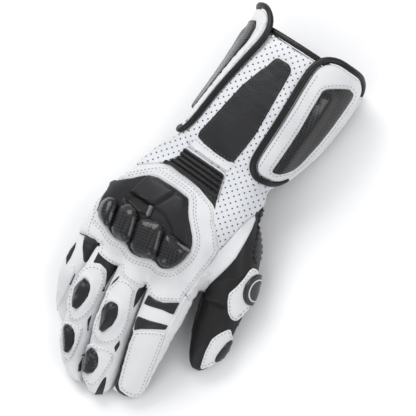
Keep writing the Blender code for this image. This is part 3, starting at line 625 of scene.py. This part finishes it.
perforated_leather = leather("perforated_leather", (0.68, 0.69, 0.715), (0.62, 0.635, 0.66), 0.46)
punched = perforated_leather.node_tree
punched_shader = punched.nodes["Principled BSDF"]
lattice = flat_place(punched, 45, HOLE_PITCH)
holes = fed(punched, "ShaderNodeTexVoronoi", lattice.outputs["Vector"], Scale=1, Randomness=0)
holes.voronoi_dimensions = "2D"
outside_hole = ramp(punched, holes.outputs["Distance"], 0.12, 0.175)
whole_colour = punched_shader.inputs["Base Color"].links[0].from_socket
whole_normal = punched_shader.inputs["Normal"].links[0].from_socket
# The holes are only painted, as dark grey dots with a small dent. The dots stand for the dark
# lining seen through the holes, and they are also painted shade inside them.
punched.links.new(mixed(punched, outside_hole, (0.10, 0.105, 0.12), whole_colour),
                  punched_shader.inputs["Base Color"])
punched.links.new(bumped(punched, outside_hole, 0.9, 0.0006, whole_normal),
                  punched_shader.inputs["Normal"])

CENTRE_PANEL = [
    (-12, 133.6), (-13, 128), (-16, 118), (-20, 108), (-25, 93), (-29, 75), (-33, 58), (-36, 45),
    (-38, 38), (-32, 30.5), (-15, 28), (1, 26), (2.5, 18), (3.5, 12), (5.5, 3), (7.5, -2),
    (9, -9), (13, -13), (17, -20), (22, -26), (24, -18), (27, -8), (30, 3), (34, 11), (38, 24),
    (42, 33), (38, 38), (20, 42), (15, 50), (17, 70), (18.5, 85), (20, 105), (22, 118), (26, 127.8),
]
sew("perforated_panel_leather", CENTRE_PANEL, skin, perforated_leather, "perforated_leather",
    ["cuff_centre_panel", "vent_panel_thumb"], proud=0.8, roll=1.0, bridge=14, ease=3)
STRIP = [(-31.5, 31), (-29.5, 40), (-20, 37.8), (-10, 36), (0, 35), (4.5, 36.5), (2.5, 26.5),
         (-10, 28)]
cuff_strip = sew("cuff_strip_leather", STRIP, skin, white_leather, "white_leather", proud=1.7,
                 roll=1.2, bridge=14)
CUFF_PATCH = [
    (-29, 42), (-28, 40), (-20, 37.5), (-10, 35.5), (0, 34.5), (3, 36), (5, 45), (8, 60), (9, 80),
    (10, 100), (10.5, 112), (9, 115), (6, 117), (-3, 117.5), (-5, 115), (-7, 109), (-10, 104),
    (-17, 88), (-22, 70), (-26, 55), (-29, 45),
]
cuff_patch = sew("cuff_patch_leather", CUFF_PATCH, skin, black_leather, "black_leather",
                 ["cuff_patch"], proud=2.0, roll=1.3, corner=1.0)
stitches("cuff_patch_stitches", [inset_line(CUFF_PATCH, 1.7)], form_of(cuff_patch), black_thread)
stitches("cuff_strip_stitches", [[(-30, 38.2), (-20, 35.7), (-10, 34), (0, 33)]],
         form_of(cuff_strip), closed=False)

# Side guards of the cuff
# Two padded white shields on the cuff's sides, each bound in black and carrying a long carbon
# plate with a raised ridge. The thumb side's binding is white along the outer edge.

TOW = 1.5                 # width of one cell of the weave

plate_carbon, carbon, carbon_shader = new_material("carbon_twill")
tows = fed(carbon, "ShaderNodeSeparateXYZ", flat_place(carbon, 38, TOW).outputs["Vector"])
tow_x, tow_y = tows.outputs["X"], tows.outputs["Y"]
cell = figure(carbon, "ADD", figure(carbon, "FLOOR", tow_x), figure(carbon, "FLOOR", tow_y))
over = figure(carbon, "LESS_THAN", figure(carbon, "FLOORED_MODULO", cell, 2.0), 0.5)
# The weave is real, but its two tones are painted sheen: the tows are one black fibre, and the
# lighter and darker checks stand for the light that tows lying crosswise catch.
weave_painted_sheen = mixed(carbon, over, (0.0015, 0.0015, 0.0018), (0.015, 0.0153, 0.017))
carbon.links.new(weave_painted_sheen, carbon_shader.inputs["Base Color"])
tow_height = carbon.nodes.new("ShaderNodeMix")
carbon.links.new(over, tow_height.inputs["Factor"])
carbon.links.new(figure(carbon, "PINGPONG", tow_x, 0.5), tow_height.inputs["A"])
carbon.links.new(figure(carbon, "PINGPONG", tow_y, 0.5), tow_height.inputs["B"])
carbon.links.new(bumped(carbon, tow_height.outputs["Result"], 0.5, 0.0005),
                 carbon_shader.inputs["Normal"])
carbon_shader.inputs["Roughness"].default_value = 0.34
carbon_shader.inputs["Coat Weight"].default_value = 0.6
carbon_shader.inputs["Coat Roughness"].default_value = 0.16
carbon_shader.inputs["Specular IOR Level"].default_value = 0.2


def smoothed_form(name, node, material, slot, levels=2):
    """A copy of a frame node, smoothed and finished, with the node itself hidden."""
    return finish_piece(sewn_form(name, node, levels), material, slot, node)


guard_thumb = smoothed_form("guard_thumb_pad", "guard_thumb", white_leather, "white_leather")
guard_little = smoothed_form("guard_little_pad", "guard_little", white_leather, "white_leather")
thumb_roll = smoothed_form("guard_thumb_binding_roll", "guard_thumb_binding", black_binding,
                           "black_binding")
thumb_roll.data.materials.append(white_leather)
WHITE_FROM, WHITE_TO = 42, 117
BINDING_MIDDLE, BINDING_LEAN = (39.5, 44), 0.235
for face in thumb_roll.data.polygons:
    x, y = face.center.dot(side) * 1000, face.center.dot(along) * 1000
    outer = x > BINDING_MIDDLE[0] + (y - BINDING_MIDDLE[1]) * BINDING_LEAN
    if outer and WHITE_FROM < y < WHITE_TO:
        face.material_index = 1
smoothed_form("guard_little_binding_roll", "guard_little_binding", black_binding, "black_binding")

pad_form = form_of(guard_thumb)
THUMB_PLATE = [
    (36, 110), (38, 113), (45, 117), (53, 120.5), (57, 119), (57.5, 115), (56, 103), (54, 90),
    (51, 75), (46, 57), (43, 50), (40, 47), (33, 42), (30, 42), (31, 50), (33, 65), (34.5, 80),
    (35, 95), (36, 108),
]
THUMB_RIDGE = [(39, 112), (43, 108), (42.5, 100), (41, 85), (38, 65), (36.5, 50), (35, 44)]


def ridge(line, height, width):
    """A crease line standing up from a plate, sloping away on both its sides."""
    return lambda flat, edge: height * np.clip(1 - to_line(flat, line, False) / width, 0, 1)


sew("guard_thumb_carbon", THUMB_PLATE, pad_form, plate_carbon, "carbon", ["guard_thumb_plate"],
    proud=1.5, roll=1.0, corner=1.2, grid=1.2, relief=ridge(THUMB_RIDGE, 1.6, 5.5), bridge=12,
    ease=5, angle=32)
LITTLE_BAND = [
    (-25, 137), (-26, 125), (-33, 100), (-38, 75), (-41, 60), (-42, 50), (-39.5, 47), (-37, 58),
    (-33.5, 75), (-29, 93), (-24, 108), (-20, 118), (-17, 128), (-16, 134), (-19, 139),
]
sew("guard_little_cover", LITTLE_BAND, form_of(guard_little, cuff), white_leather, "white_leather",
    proud=1.0, roll=1.8)
LITTLE_PLATE = [
    (16, 117.5), (15, 100.6), (15.5, 82), (16.2, 74.4), (17.5, 67), (25, 57), (31, 54.5),
    (35, 57), (39.5, 66), (44, 81), (47, 90), (49.5, 99.5), (51.5, 108), (53, 116),
    (53, 125), (50, 130), (41, 130), (31.7, 129.5), (22, 127.5), (17.5, 124),
]
LITTLE_RIDGE = [(28, 58), (28, 75), (30, 95), (32, 110), (36, 120)]
stitches("guard_stitches", [inset_line(THUMB_PLATE, -2.2)], pad_form)
GUARD_ROW = [
    (28, 119), (26.4, 108), (25.9, 90), (23.9, 75), (22.4, 60), (21, 45), (20.6, 36), (22.5, 33.4),
    (26, 32.4), (30, 33), (36, 37),
]
stitches("guard_edge_stitches", [GUARD_ROW], pad_form, closed=False)
sew("guard_little_carbon", LITTLE_PLATE, form_of(guard_little), plate_carbon, "carbon",
    ["guard_little_plate"], proud=1.0, roll=1.0, corner=1.2, grid=1.3, view=LITTLE_SIDE,
    relief=ridge(LITTLE_RIDGE, 1.4, 5.5), bridge=6, ease=4)

# Wrist gathers
# A black leather insert over the wrist, sewn into five straight ribs, and a gathered one beside
# the thumb. Both let the wrist bend.

GATHERS = [
    (-32, 29), (-15, 27), (1, 24.5), (2, 18), (3, 12), (5, 3), (7, -2), (3, 1.5), (-5, 5),
    (-12, 8), (-20, 10), (-30, 11.5), (-37, 13), (-40, 12.5), (-45, 10.5), (-38, 16.5), (-34, 21),
    (-34, 26),
]


def ribs(flat, edge):
    """Five rounded ribs, counted down from the sloping top edge."""
    height, pitch, count = 3.4, 3.6, 5
    top = GATHERS[0][1] - 4.5 * (flat[:, 0] - GATHERS[0][0]) / 33
    down = np.clip(top - flat[:, 1], 0, count * pitch)
    return height * np.abs(np.sin(np.pi * down / pitch)) ** 0.75 * rise(edge, 1.2)


gathered_leather = leather("gathered_leather", (0.009, 0.0092, 0.01), (0.006, 0.006, 0.0068), 0.36,
                           grain=0.0011, depth=0.3)
gathered_shader = gathered_leather.node_tree.nodes["Principled BSDF"]
gathered_shader.inputs["Specular IOR Level"].default_value = 0.42
sew("wrist_gathers_leather", GATHERS, skin, gathered_leather, "black_leather", ["wrist_accordion"],
    proud=0.4, roll=1.0, corner=0.8, grid=0.55, rims=(0.5,), relief=ribs, bridge=12)
THUMB_GATHERS = [
    (35, 16), (38, 15), (42, 9), (44, 4), (46, -2), (48, -8), (50, -13), (52, -19), (50, -23),
    (46, -19), (43, -10), (39, 2), (36, 9),
]


def ruffles(flat, edge):
    """Fine ruffles, counted down along the sloping piece."""
    height, pitch = 1.5, 4.4
    down = (flat[:, 0] - 34) * 0.38 + (21 - flat[:, 1]) * 0.925
    return height * np.abs(np.sin(np.pi * down / pitch)) ** 0.8 * rise(edge, 1.2)


sew("thumb_gathers_leather", THUMB_GATHERS, skin, gathered_leather, "black_leather",
    ["thumb_accordion"], proud=0.2, roll=1.0, grid=0.9, rims=(0.5,), relief=ruffles)
smoothed_form("wrist_strap_leather", "wrist_strap", black_leather, "black_leather", 1)

# Back of the hand
# A white main panel with a scalloped lower edge and a roll round the armour, a punched panel
# at the little side of the wrist, and a plain strip down the side of the index finger.

VENT_LITTLE = [
    (-39, 42), (-35, 40), (-31, 32), (-33, 25), (-34, 19), (-38, 15.5), (-45, 10.5), (-59, 2),
    (-60, 7), (-54, 20), (-48, 30), (-43, 40),
]
sew("vent_little_leather", VENT_LITTLE, skin, perforated_leather, "perforated_leather",
    ["vent_panel_little"], proud=0.8, roll=1.0, bridge=14)
SIDE_STRIP = [
    (21.5, -26), (20.5, -35), (18.5, -45), (16.5, -55), (14.5, -65), (14, -71), (14.5, -90),
    (15, -100), (17, -115), (18, -130), (19, -145), (21, -143), (20.5, -135), (21, -110),
    (21.5, -95), (23, -80), (24, -65), (25, -60), (27, -51), (30, -42), (33, -33), (35, -25),
    (36, -10), (36, 0), (35.5, 6), (33.5, 9), (31, 6), (28, -3), (25, -14), (23, -22),
]
sew("side_strip_leather", SIDE_STRIP, form_of(hand, fingers["index"]), white_leather,
    "white_leather", ["side_strip"], proud=1.0, roll=1.4, corner=0.6, bridge=60, ease=10)
ARMOUR = [
    (-68, -18), (-66, -15), (-60, -11), (-55, -7), (-50, -3), (-46, 0), (-41, 1.5), (-35, 1),
    (-25, 0), (-15, -2), (-13, -5), (-11, -10), (-8, -15), (-4, -20), (0, -25), (3, -31),
    (3.5, -35), (3, -40), (1, -46), (-2, -52), (-6, -55), (-10, -55.5), (-14, -54), (-18, -53.5),
    (-22, -54.5), (-27, -56), (-32, -56), (-36, -54), (-40, -51), (-44, -51), (-49, -51.5),
    (-53, -50), (-57, -47), (-62, -45), (-66, -44), (-68, -40), (-69, -33), (-68, -25),
]
BACK_PANEL = [
    (-61, -3), (-45, 9.5), (-38, 12), (-30, 10.5), (-20, 9), (-12, 7), (-5, 4), (2, 1.5), (7, -4),
    (9, -10), (13, -14), (17, -21), (21.5, -27), (20.5, -35), (18.5, -45), (16.5, -55),
    (14.5, -65), (14, -71.5), (10, -73), (5, -75), (0, -77.5), (-5, -78), (-9, -76), (-14, -70.5),
    (-16, -75.5), (-25, -75), (-33, -73.5), (-36, -66.5), (-38, -68.5), (-42, -69.5), (-50, -68.5),
    (-55, -66.5), (-56, -59.5), (-60, -60), (-65, -60), (-70, -58), (-72, -45), (-71, -30),
    (-69, -20), (-65, -10),
]


def armour_rim(flat, edge):
    """The leather turned up in a roll round the knuckle armour."""
    away = to_line(flat, ARMOUR)
    return np.where(inside(flat, ARMOUR), -0.4, 1.3 * np.exp(-(((away - 1.6) / 1.3) ** 2)))


back_panel = sew("back_panel_leather", BACK_PANEL, skin, white_leather, "white_leather",
                 ["back_panel"], proud=1.2, roll=1.8, grid=1.6, relief=armour_rim, bridge=12)
back_form = form_of(back_panel)
stitches("back_stitches", [inset_line(BACK_PANEL, 1.9)], back_form)
stitches("armour_stitches", [inset_line(ARMOUR, -3.6), inset_line(ARMOUR, -5.4)], back_form)

# Knuckle armour
# One moulded shell in satin black: a raised centre plate with fine ribs above a recess, a smooth
# wing beside it, and four carbon caps over the knuckles. One upright rib is grey, and one facet
# is painted grey as a painted highlight, the light that its slope catches.

satin_plastic, satin, satin_shader = new_material("satin_plastic")
satin_place = satin.nodes.new("ShaderNodeTexCoord").outputs["Object"]
speckle = fed(satin, "ShaderNodeTexNoise", satin_place, Scale=1600).outputs["Fac"]
satin.links.new(mixed(satin, speckle, (0.012, 0.012, 0.0132), (0.017, 0.017, 0.0187)),
                satin_shader.inputs["Base Color"])
satin.links.new(bumped(satin, speckle, 0.12, 0.0002), satin_shader.inputs["Normal"])
satin_shader.inputs["Roughness"].default_value = 0.4
satin_shader.inputs["Specular IOR Level"].default_value = 0.24

BETWEEN_CAPS = (
    [(-56.6, -31), (-54.6, -46)],
    [(-41.6, -29), (-39.5, -36), (-37.6, -47)],
    [(-20.5, -30), (-18.5, -38), (-16.4, -49)],
)
CENTRE_PLATE = [(-44, -1), (-24, -3), (-24, -4), (-31, -17), (-35, -18.5), (-50, -17), (-47, -8)]
RECESS = [(-51, -17.5), (-35, -19), (-35, -27), (-43, -27.5), (-52, -24)]
WING = [(-22, -4), (-15, -4), (2, -31), (0, -33), (-10, -32), (-15, -26), (-22, -21), (-31, -19)]


def step_of(flat, outline, width):
    """1 inside an outline, 0 outside it, with a sloping side of this width."""
    away = to_line(flat, outline)
    return np.clip(np.where(inside(flat, outline), away, -away) / width + 0.5, 0, 1)


def armour_relief(flat, edge):
    """The moulding of the shell, with fine ribs on its plate and webs between the caps."""
    plate = step_of(flat, CENTRE_PLATE, 1.2)
    height = 1.6 * rise(edge, 7.0)
    height += 2.2 * plate
    height -= 2.8 * step_of(flat, RECESS, 1.4)
    height += 0.9 * step_of(flat, WING, 1.5)
    for web in BETWEEN_CAPS:
        height += ridge(web, 3.6, 1.7)(flat, edge)
    rib_pitch = 1.9
    fine = np.sin(2 * np.pi * (flat[:, 1] + 0.08 * flat[:, 0]) / rib_pitch)
    return height + 0.10 * fine * plate


armour = sew("knuckle_armour_shell", ARMOUR, back_form, satin_plastic, "black_plastic",
             ["knuckle_armour", "armour_back_plate"], proud=3.2, roll=1.6, sink=0.8, thick=1.2,
             grid=0.9, corner=1.2, relief=armour_relief, bridge=20, ease=6, angle=38)
armour_form = form_of(armour)
DOMES = {
    "little": [(-68.5, -33), (-66.5, -28), (-62, -25.5), (-58, -27), (-56.8, -33.7),
               (-54.8, -48), (-57, -46.5), (-62, -44.3), (-66, -43.3), (-68, -39.5)],
    "ring": [(-56, -30), (-52, -25), (-46, -25), (-42, -27.5), (-41, -31), (-37.2, -50.3),
             (-40, -50.2), (-44, -50.2), (-49, -50.6), (-53, -49.2), (-54.2, -48)],
    "middle": [(-40, -30.5), (-36, -28.5), (-28, -26), (-22, -27.5), (-20.4, -31), (-15.9, -51.8),
               (-18, -52.6), (-22, -53.6), (-27, -55), (-32, -55), (-36, -52.8), (-36.5, -51)],
    "index": [(-19.3, -33), (-15, -29.5), (-9, -31), (-2, -33), (2.5, -35), (2.3, -40),
              (0.3, -46), (-2.5, -51), (-6, -54), (-10, -54.5), (-14, -53), (-15.2, -52)],
}
for knuckle, outline in DOMES.items():
    sew(f"knuckle_cap_{knuckle}", outline, armour_form, plate_carbon, "carbon",
        [f"armour_dome_{knuckle}"], proud=0.6, roll=0.6, sink=0.3, thick=1.0, grid=0.9,
        corner=5.5, rims=(0.5, 0.6), bridge=30, ease=8,
        relief=lambda flat, edge: 5.6 * rise(edge, 10))

# This grey is used for the upright rib. On the facet it is a painted highlight, standing for the
# light that the facet's slope catches.
grey_plastic_and_painted_highlight = leather("grey_plastic_and_painted_highlight", (0.16, 0.162, 0.168), (0.12, 0.122, 0.126), 0.35,
                       grain=0.003, depth=0.05)
GREY_PIECES = (
    ("armour_upright_rib", [(-36.6, -18.5), (-33.8, -19), (-33.4, -27), (-35.6, -28)], 3.4, 0.8),
    ("armour_grey_facet", [(-10.5, -32.5), (3, -34.3), (2.8, -36.8), (-5, -38.5)], 4.2, 1.2),
)
for name, outline, proud, roll in GREY_PIECES:
    sew(name, outline, armour_form, grey_plastic_and_painted_highlight, "black_plastic", proud=proud, roll=roll, grid=0.8,
        corner=0.5, rims=(0.3,), bridge=10, ease=4)

# Finger pieces
# White pods on the ring and middle fingers, each holding a moulded slider, and a plain one on
# the little finger; black stretch patches at the roots and tips; two black patches, a long panel
# and a black side seam on the index finger.

BLACK_PATCHES = {
    ("little_root_patch", "little"): [
        (-68.6, -58.5), (-65, -57), (-60, -56.5), (-56.5, -57), (-56.5, -67), (-57, -74),
        (-60, -77.5), (-62, -76.5), (-64, -73), (-67, -68), (-68.5, -63)],
    ("little_slit", "little"): [(-72.5, -66), (-74, -74), (-74, -80), (-71.5, -85), (-70.6, -79),
                                (-71, -71)],
    ("little_side_slit", "little"): [(-63.3, -87), (-62.3, -87), (-61.8, -96), (-63, -97)],
    ("ring_root_patch", "ring"): [
        (-55, -63), (-54, -64), (-46, -65), (-40, -65), (-36, -63), (-37.5, -70), (-38.5, -78),
        (-39, -86), (-39.5, -90), (-40, -84), (-42, -79), (-44, -75), (-50, -73), (-55, -74.5)],
    ("middle_root_patch", "middle"): [
        (-13.5, -70.5), (-15, -74), (-17.5, -76), (-17.5, -80), (-16, -86), (-14, -91),
        (-13, -85), (-12.5, -78), (-12.5, -73)],
    ("middle_slit", "middle"): [(-34.5, -75), (-33, -74), (-34, -80), (-35, -86), (-36.5, -87),
                                (-36, -80)],
    ("middle_tip_patch", "middle"): [(-9, -143), (-7, -148), (-5.5, -156), (-11, -159),
                                     (-11, -150), (-10.5, -145)],
    ("middle_side_patch", "middle"): [(-12.5, -115), (-14, -122), (-11, -125), (-10.5, -119)],
    ("ring_left_patch", "ring"): [(-57, -111), (-54, -125), (-56, -123.5), (-61, -120),
                                  (-59, -115)],
    ("ring_side_patch", "ring"): [(-38.5, -108), (-36, -120), (-37.5, -118), (-40, -113),
                                  (-39.5, -110)],
    ("ring_tip_patch", "ring"): [(-31, -136), (-30, -140), (-27, -148), (-29, -150), (-31, -145)],
}
finger_forms = {finger: form_of(shell, hand) for finger, shell in fingers.items()}
for (name, finger), outline in BLACK_PATCHES.items():
    sew(name, outline, finger_forms[finger], black_leather, "black_leather", proud=0.5,
        roll=0.7, corner=0.7, rims=(0.4,), bridge=12)

INDEX_SEAM = [
    (-8.5, -103), (-6, -106), (-4.7, -115), (-2.8, -125), (-0.8, -135), (1.2, -144), (4, -147.2),
    (9, -148), (12, -147.8), (12, -149), (8, -149.8), (3, -149.4), (-1.5, -146), (-4, -136),
    (-7, -122), (-9, -110),
]
INDEX_PATCHES = {
    "index_patch": [(-9, -76.5), (-3, -78), (3, -77), (14, -71.5), (14, -82), (5, -82.5),
                    (-3, -84), (-9, -84.5)],
    "index_band": [(-9, -94), (0, -93), (14, -90), (14, -94), (5, -98), (-3, -102),
                   (-6.5, -105), (-8.5, -99)],
}
INDEX_PANEL = [
    (-6, -105), (5, -99.5), (15, -95.5), (17, -115), (18, -130), (19.5, -143), (18, -147),
    (10, -148.5), (4, -147.5), (1, -144), (-1, -135), (-3, -125), (-5, -115),
]
index_form = finger_forms["index"]
sew("index_side_seam", INDEX_SEAM, index_form, black_leather, "black_leather", proud=0.5, roll=0.7,
    corner=0.6, rims=(0.4,))
for node, outline in INDEX_PATCHES.items():
    sew(f"{node}_leather", outline, index_form, black_leather, "black_leather", [node], proud=0.9,
        roll=1.3, corner=0.8)
index_panel = sew("index_panel_leather", INDEX_PANEL, index_form, white_leather, "white_leather",
                  ["index_panel"], proud=1.3, roll=1.3, corner=0.8)
stitches("index_stitches", [inset_line(INDEX_PANEL, 1.7)], form_of(index_panel))

PODS = {
    "middle": ([
        [(-37, -88), (-35.5, -95), (-35, -105), (-35, -113), (-32, -121), (-27, -124),
         (-20, -123), (-14, -118), (-12, -110), (-12.5, -102), (-15, -92), (-18, -84), (-19, -78),
         (-26, -75.5), (-33, -76), (-35.5, -82)],
        [(-30, -126), (-32, -132), (-31, -140), (-28, -147), (-23, -153), (-16, -156),
         (-12, -150), (-11, -143), (-10, -134), (-11, -127), (-16, -125), (-24, -126)],
    ], [
        ("knuckle", [(-29, -93), (-25, -93.5), (-23, -97), (-21.5, -102), (-22, -108),
                     (-25, -115), (-27, -116.5), (-29, -115), (-32, -107), (-34, -101),
                     (-33, -96), (-31, -93.5)],
         [(-28, -96), (-27, -104), (-26.5, -113)]),
        ("tip", [(-28, -129), (-24, -130), (-20, -134), (-18, -139), (-19, -145), (-22, -148),
                 (-25, -147), (-28, -142), (-30, -136), (-29.5, -131)],
         [(-26, -131), (-24, -138), (-23, -145)]),
    ]),
    "ring": ([
        [(-55, -76), (-46, -75), (-42, -80), (-40.5, -86), (-40, -94), (-40, -104), (-42, -112),
         (-46, -118), (-52, -118.5), (-56, -113), (-60, -105), (-62, -96), (-61, -86), (-59, -80)],
        [(-54, -120.5), (-46, -120), (-40, -119), (-38, -125), (-37, -134), (-37, -144),
         (-41, -148), (-46, -142), (-51, -134), (-54, -127)],
    ], [
        ("knuckle", [(-55, -86.5), (-51, -88), (-48, -92), (-47, -98), (-48.5, -106), (-50, -110),
                     (-53, -109.5), (-56, -104), (-58.5, -96), (-57, -91)],
         [(-53, -88), (-54, -97), (-52, -108)]),
        ("tip", [(-52, -122), (-48, -122), (-44, -125), (-41, -131), (-40.5, -137), (-41, -141),
                 (-43.5, -140.5), (-47, -136), (-51, -130), (-52.5, -125)],
         [(-50, -123), (-46, -130), (-42, -139)]),
    ]),
}
gloss_plastic = leather("gloss_plastic", (0.024, 0.0243, 0.026), (0.017, 0.017, 0.0185), 0.2,
                        grain=0.004, depth=0.05)


def collar(opening):
    """The pod's leather rolled up round its slider, and let down under it."""
    def height(flat, edge):
        roll = np.exp(-(((to_line(flat, opening) - 1.6) / 1.4) ** 2)) * rise(edge, 3.0)
        return np.where(inside(flat, opening), -0.3, roll)
    return height


def crested(crest):
    """A slider's two facets, which meet at its crest."""
    return lambda flat, edge: 0.45 * np.minimum(edge, 5) + ridge(crest, 2.4, 4.5)(flat, edge)


for finger, (pods, sliders) in PODS.items():
    made = []
    for number, outline in enumerate(pods):
        made.append(sew(
            f"{finger}_pod_{number + 1}", outline, finger_forms[finger], white_leather,
            "white_leather", [f"{finger}_panel"] if number == 0 else [], proud=1.3, roll=1.8,
            grid=1.5, bridge=4, relief=collar(sliders[number][1])))
    pod_form = form_of(*made)
    stitches(f"{finger}_stitches", [inset_line(o, 1.5) for o in pods], pod_form)
    for name, outline, crest in sliders:
        sew(f"{finger}_slider_{name}_cap", outline, pod_form, gloss_plastic, "carbon",
            [f"{finger}_slider_{name}"], proud=0.9, roll=0.8, sink=0.5, grid=1.0, corner=1.0,
            rims=(0.4, 0.6), bridge=10, angle=24, relief=crested(crest))
LITTLE_POD = [(-71, -84), (-66, -81), (-63, -86), (-62, -100), (-61.5, -112), (-63, -118),
              (-67, -112), (-70, -104), (-71, -95)]
sew("little_pod_leather", LITTLE_POD, form_of(fingers["little"]), white_leather, "white_leather",
    ["little_panel"], proud=0.6, roll=1.6)

# Thumb
# Black leather, with a white knuckle panel round a plain round badge, and a white tip panel with
# a moulded slider on its edge.

THUMB_SIDE = [
    (23, -56), (25.5, -62), (27.5, -75), (29, -80), (38, -82), (46, -82), (52, -78), (58, -71),
    (61, -60), (62, -48), (60, -36), (54, -26), (47, -26), (42, -38), (34, -42), (29, -45),
]
thumb_side = sew("thumb_side_leather", THUMB_SIDE, form_of(thumb, hand), palm_leather,
                 "black_leather", proud=0.4, roll=0.6, bridge=60, ease=4)
thumb_form = form_of(thumb, hand, thumb_side)
THUMB_PANEL = [
    (50, -25), (54, -26), (57, -30), (60, -35), (63, -43), (62, -50), (59, -58), (56.5, -65),
    (55, -66), (52, -66), (48, -63), (44, -56), (42, -50), (45, -43), (47, -35), (48, -27),
]
TIP_PANEL = [
    (55, -72), (57.5, -75), (60, -77), (62, -84), (60, -92), (57, -99), (53, -104), (49, -108),
    (48, -107), (47, -102), (46, -95), (46, -85), (49, -79), (52, -75),
]
thumb_panels = [
    sew("thumb_knuckle_leather", THUMB_PANEL, thumb_form, white_leather, "white_leather",
        ["thumb_knuckle_panel"], proud=1.3, roll=1.8, bridge=10),
    sew("thumb_tip_leather", TIP_PANEL, thumb_form, white_leather, "white_leather",
        ["thumb_tip_panel"], proud=1.2, roll=1.6, bridge=4),
]
stitches("thumb_seam_stitches", [[(26.5, -60), (28.3, -67), (29.3, -75), (30, -84), (33, -92)]],
         form_of(thumb_side, thumb), black_thread, pitch=1.5, long=1.6, closed=False)
stitches("thumb_stitches", [inset_line(THUMB_PANEL, 1.6), inset_line(TIP_PANEL, 1.6)],
         form_of(*thumb_panels))

BADGE_AT, BADGE_HALF = (4.7, -44), (11.5, 12)
badge_face, badge, badge_shader = new_material("badge_face")
badge_map = badge.nodes.new("ShaderNodeUVMap")
badge_map.uv_map = "UVMap"
badge_turn = fed(badge, "ShaderNodeMapping", badge_map.outputs["UV"],
                 Location=(-BADGE_AT[0] / BADGE_HALF[0], -BADGE_AT[1] / BADGE_HALF[1], 0),
                 Scale=(10 / BADGE_HALF[0], 10 / BADGE_HALF[1], 1))
from_middle = fed(badge, "ShaderNodeVectorMath", badge_turn.outputs["Vector"])
from_middle.operation = "LENGTH"
share = from_middle.outputs["Value"]
ring = figure(badge, "MULTIPLY", figure(badge, "GREATER_THAN", share, 0.62),
              figure(badge, "LESS_THAN", share, 0.70))
badge.links.new(mixed(badge, ring, (0.014, 0.014, 0.015), (0.62, 0.625, 0.635)),
                badge_shader.inputs["Base Color"])
badge.links.new(bumped(badge, ring, 0.8, 0.0006), badge_shader.inputs["Normal"])
badge_shader.inputs["Roughness"].default_value = 0.3
BADGE_SIDES = 20
badge_edge = [
    (BADGE_AT[0] + BADGE_HALF[0] * math.cos(k * math.tau / BADGE_SIDES),
     BADGE_AT[1] + BADGE_HALF[1] * math.sin(k * math.tau / BADGE_SIDES))
    for k in range(BADGE_SIDES)
]
sew("thumb_badge_disc", badge_edge, form_of(thumb_panels[0], thumb, hand), badge_face,
    "black_plastic", ["thumb_badge"], proud=2.0, roll=1.0, sink=0.3, grid=1.0, corner=0.5,
    view=THUMB_SIGHT, bridge=16, ease=4, rims=(0.4, 0.6),
    relief=lambda flat, edge: 0.5 * rise(edge - 3.4, 1.0))
sew("thumb_slider_cap", [(59.5, -78), (62, -84), (61.5, -90), (58.5, -96), (55.5, -99),
                         (54.5, -95), (55.5, -88), (57, -82)],
    form_of(thumb, thumb_panels[1]), gloss_plastic, "carbon", ["thumb_slider"], proud=1.6,
    roll=1.2, grid=1.0, corner=1.0, rims=(0.4,), angle=30)
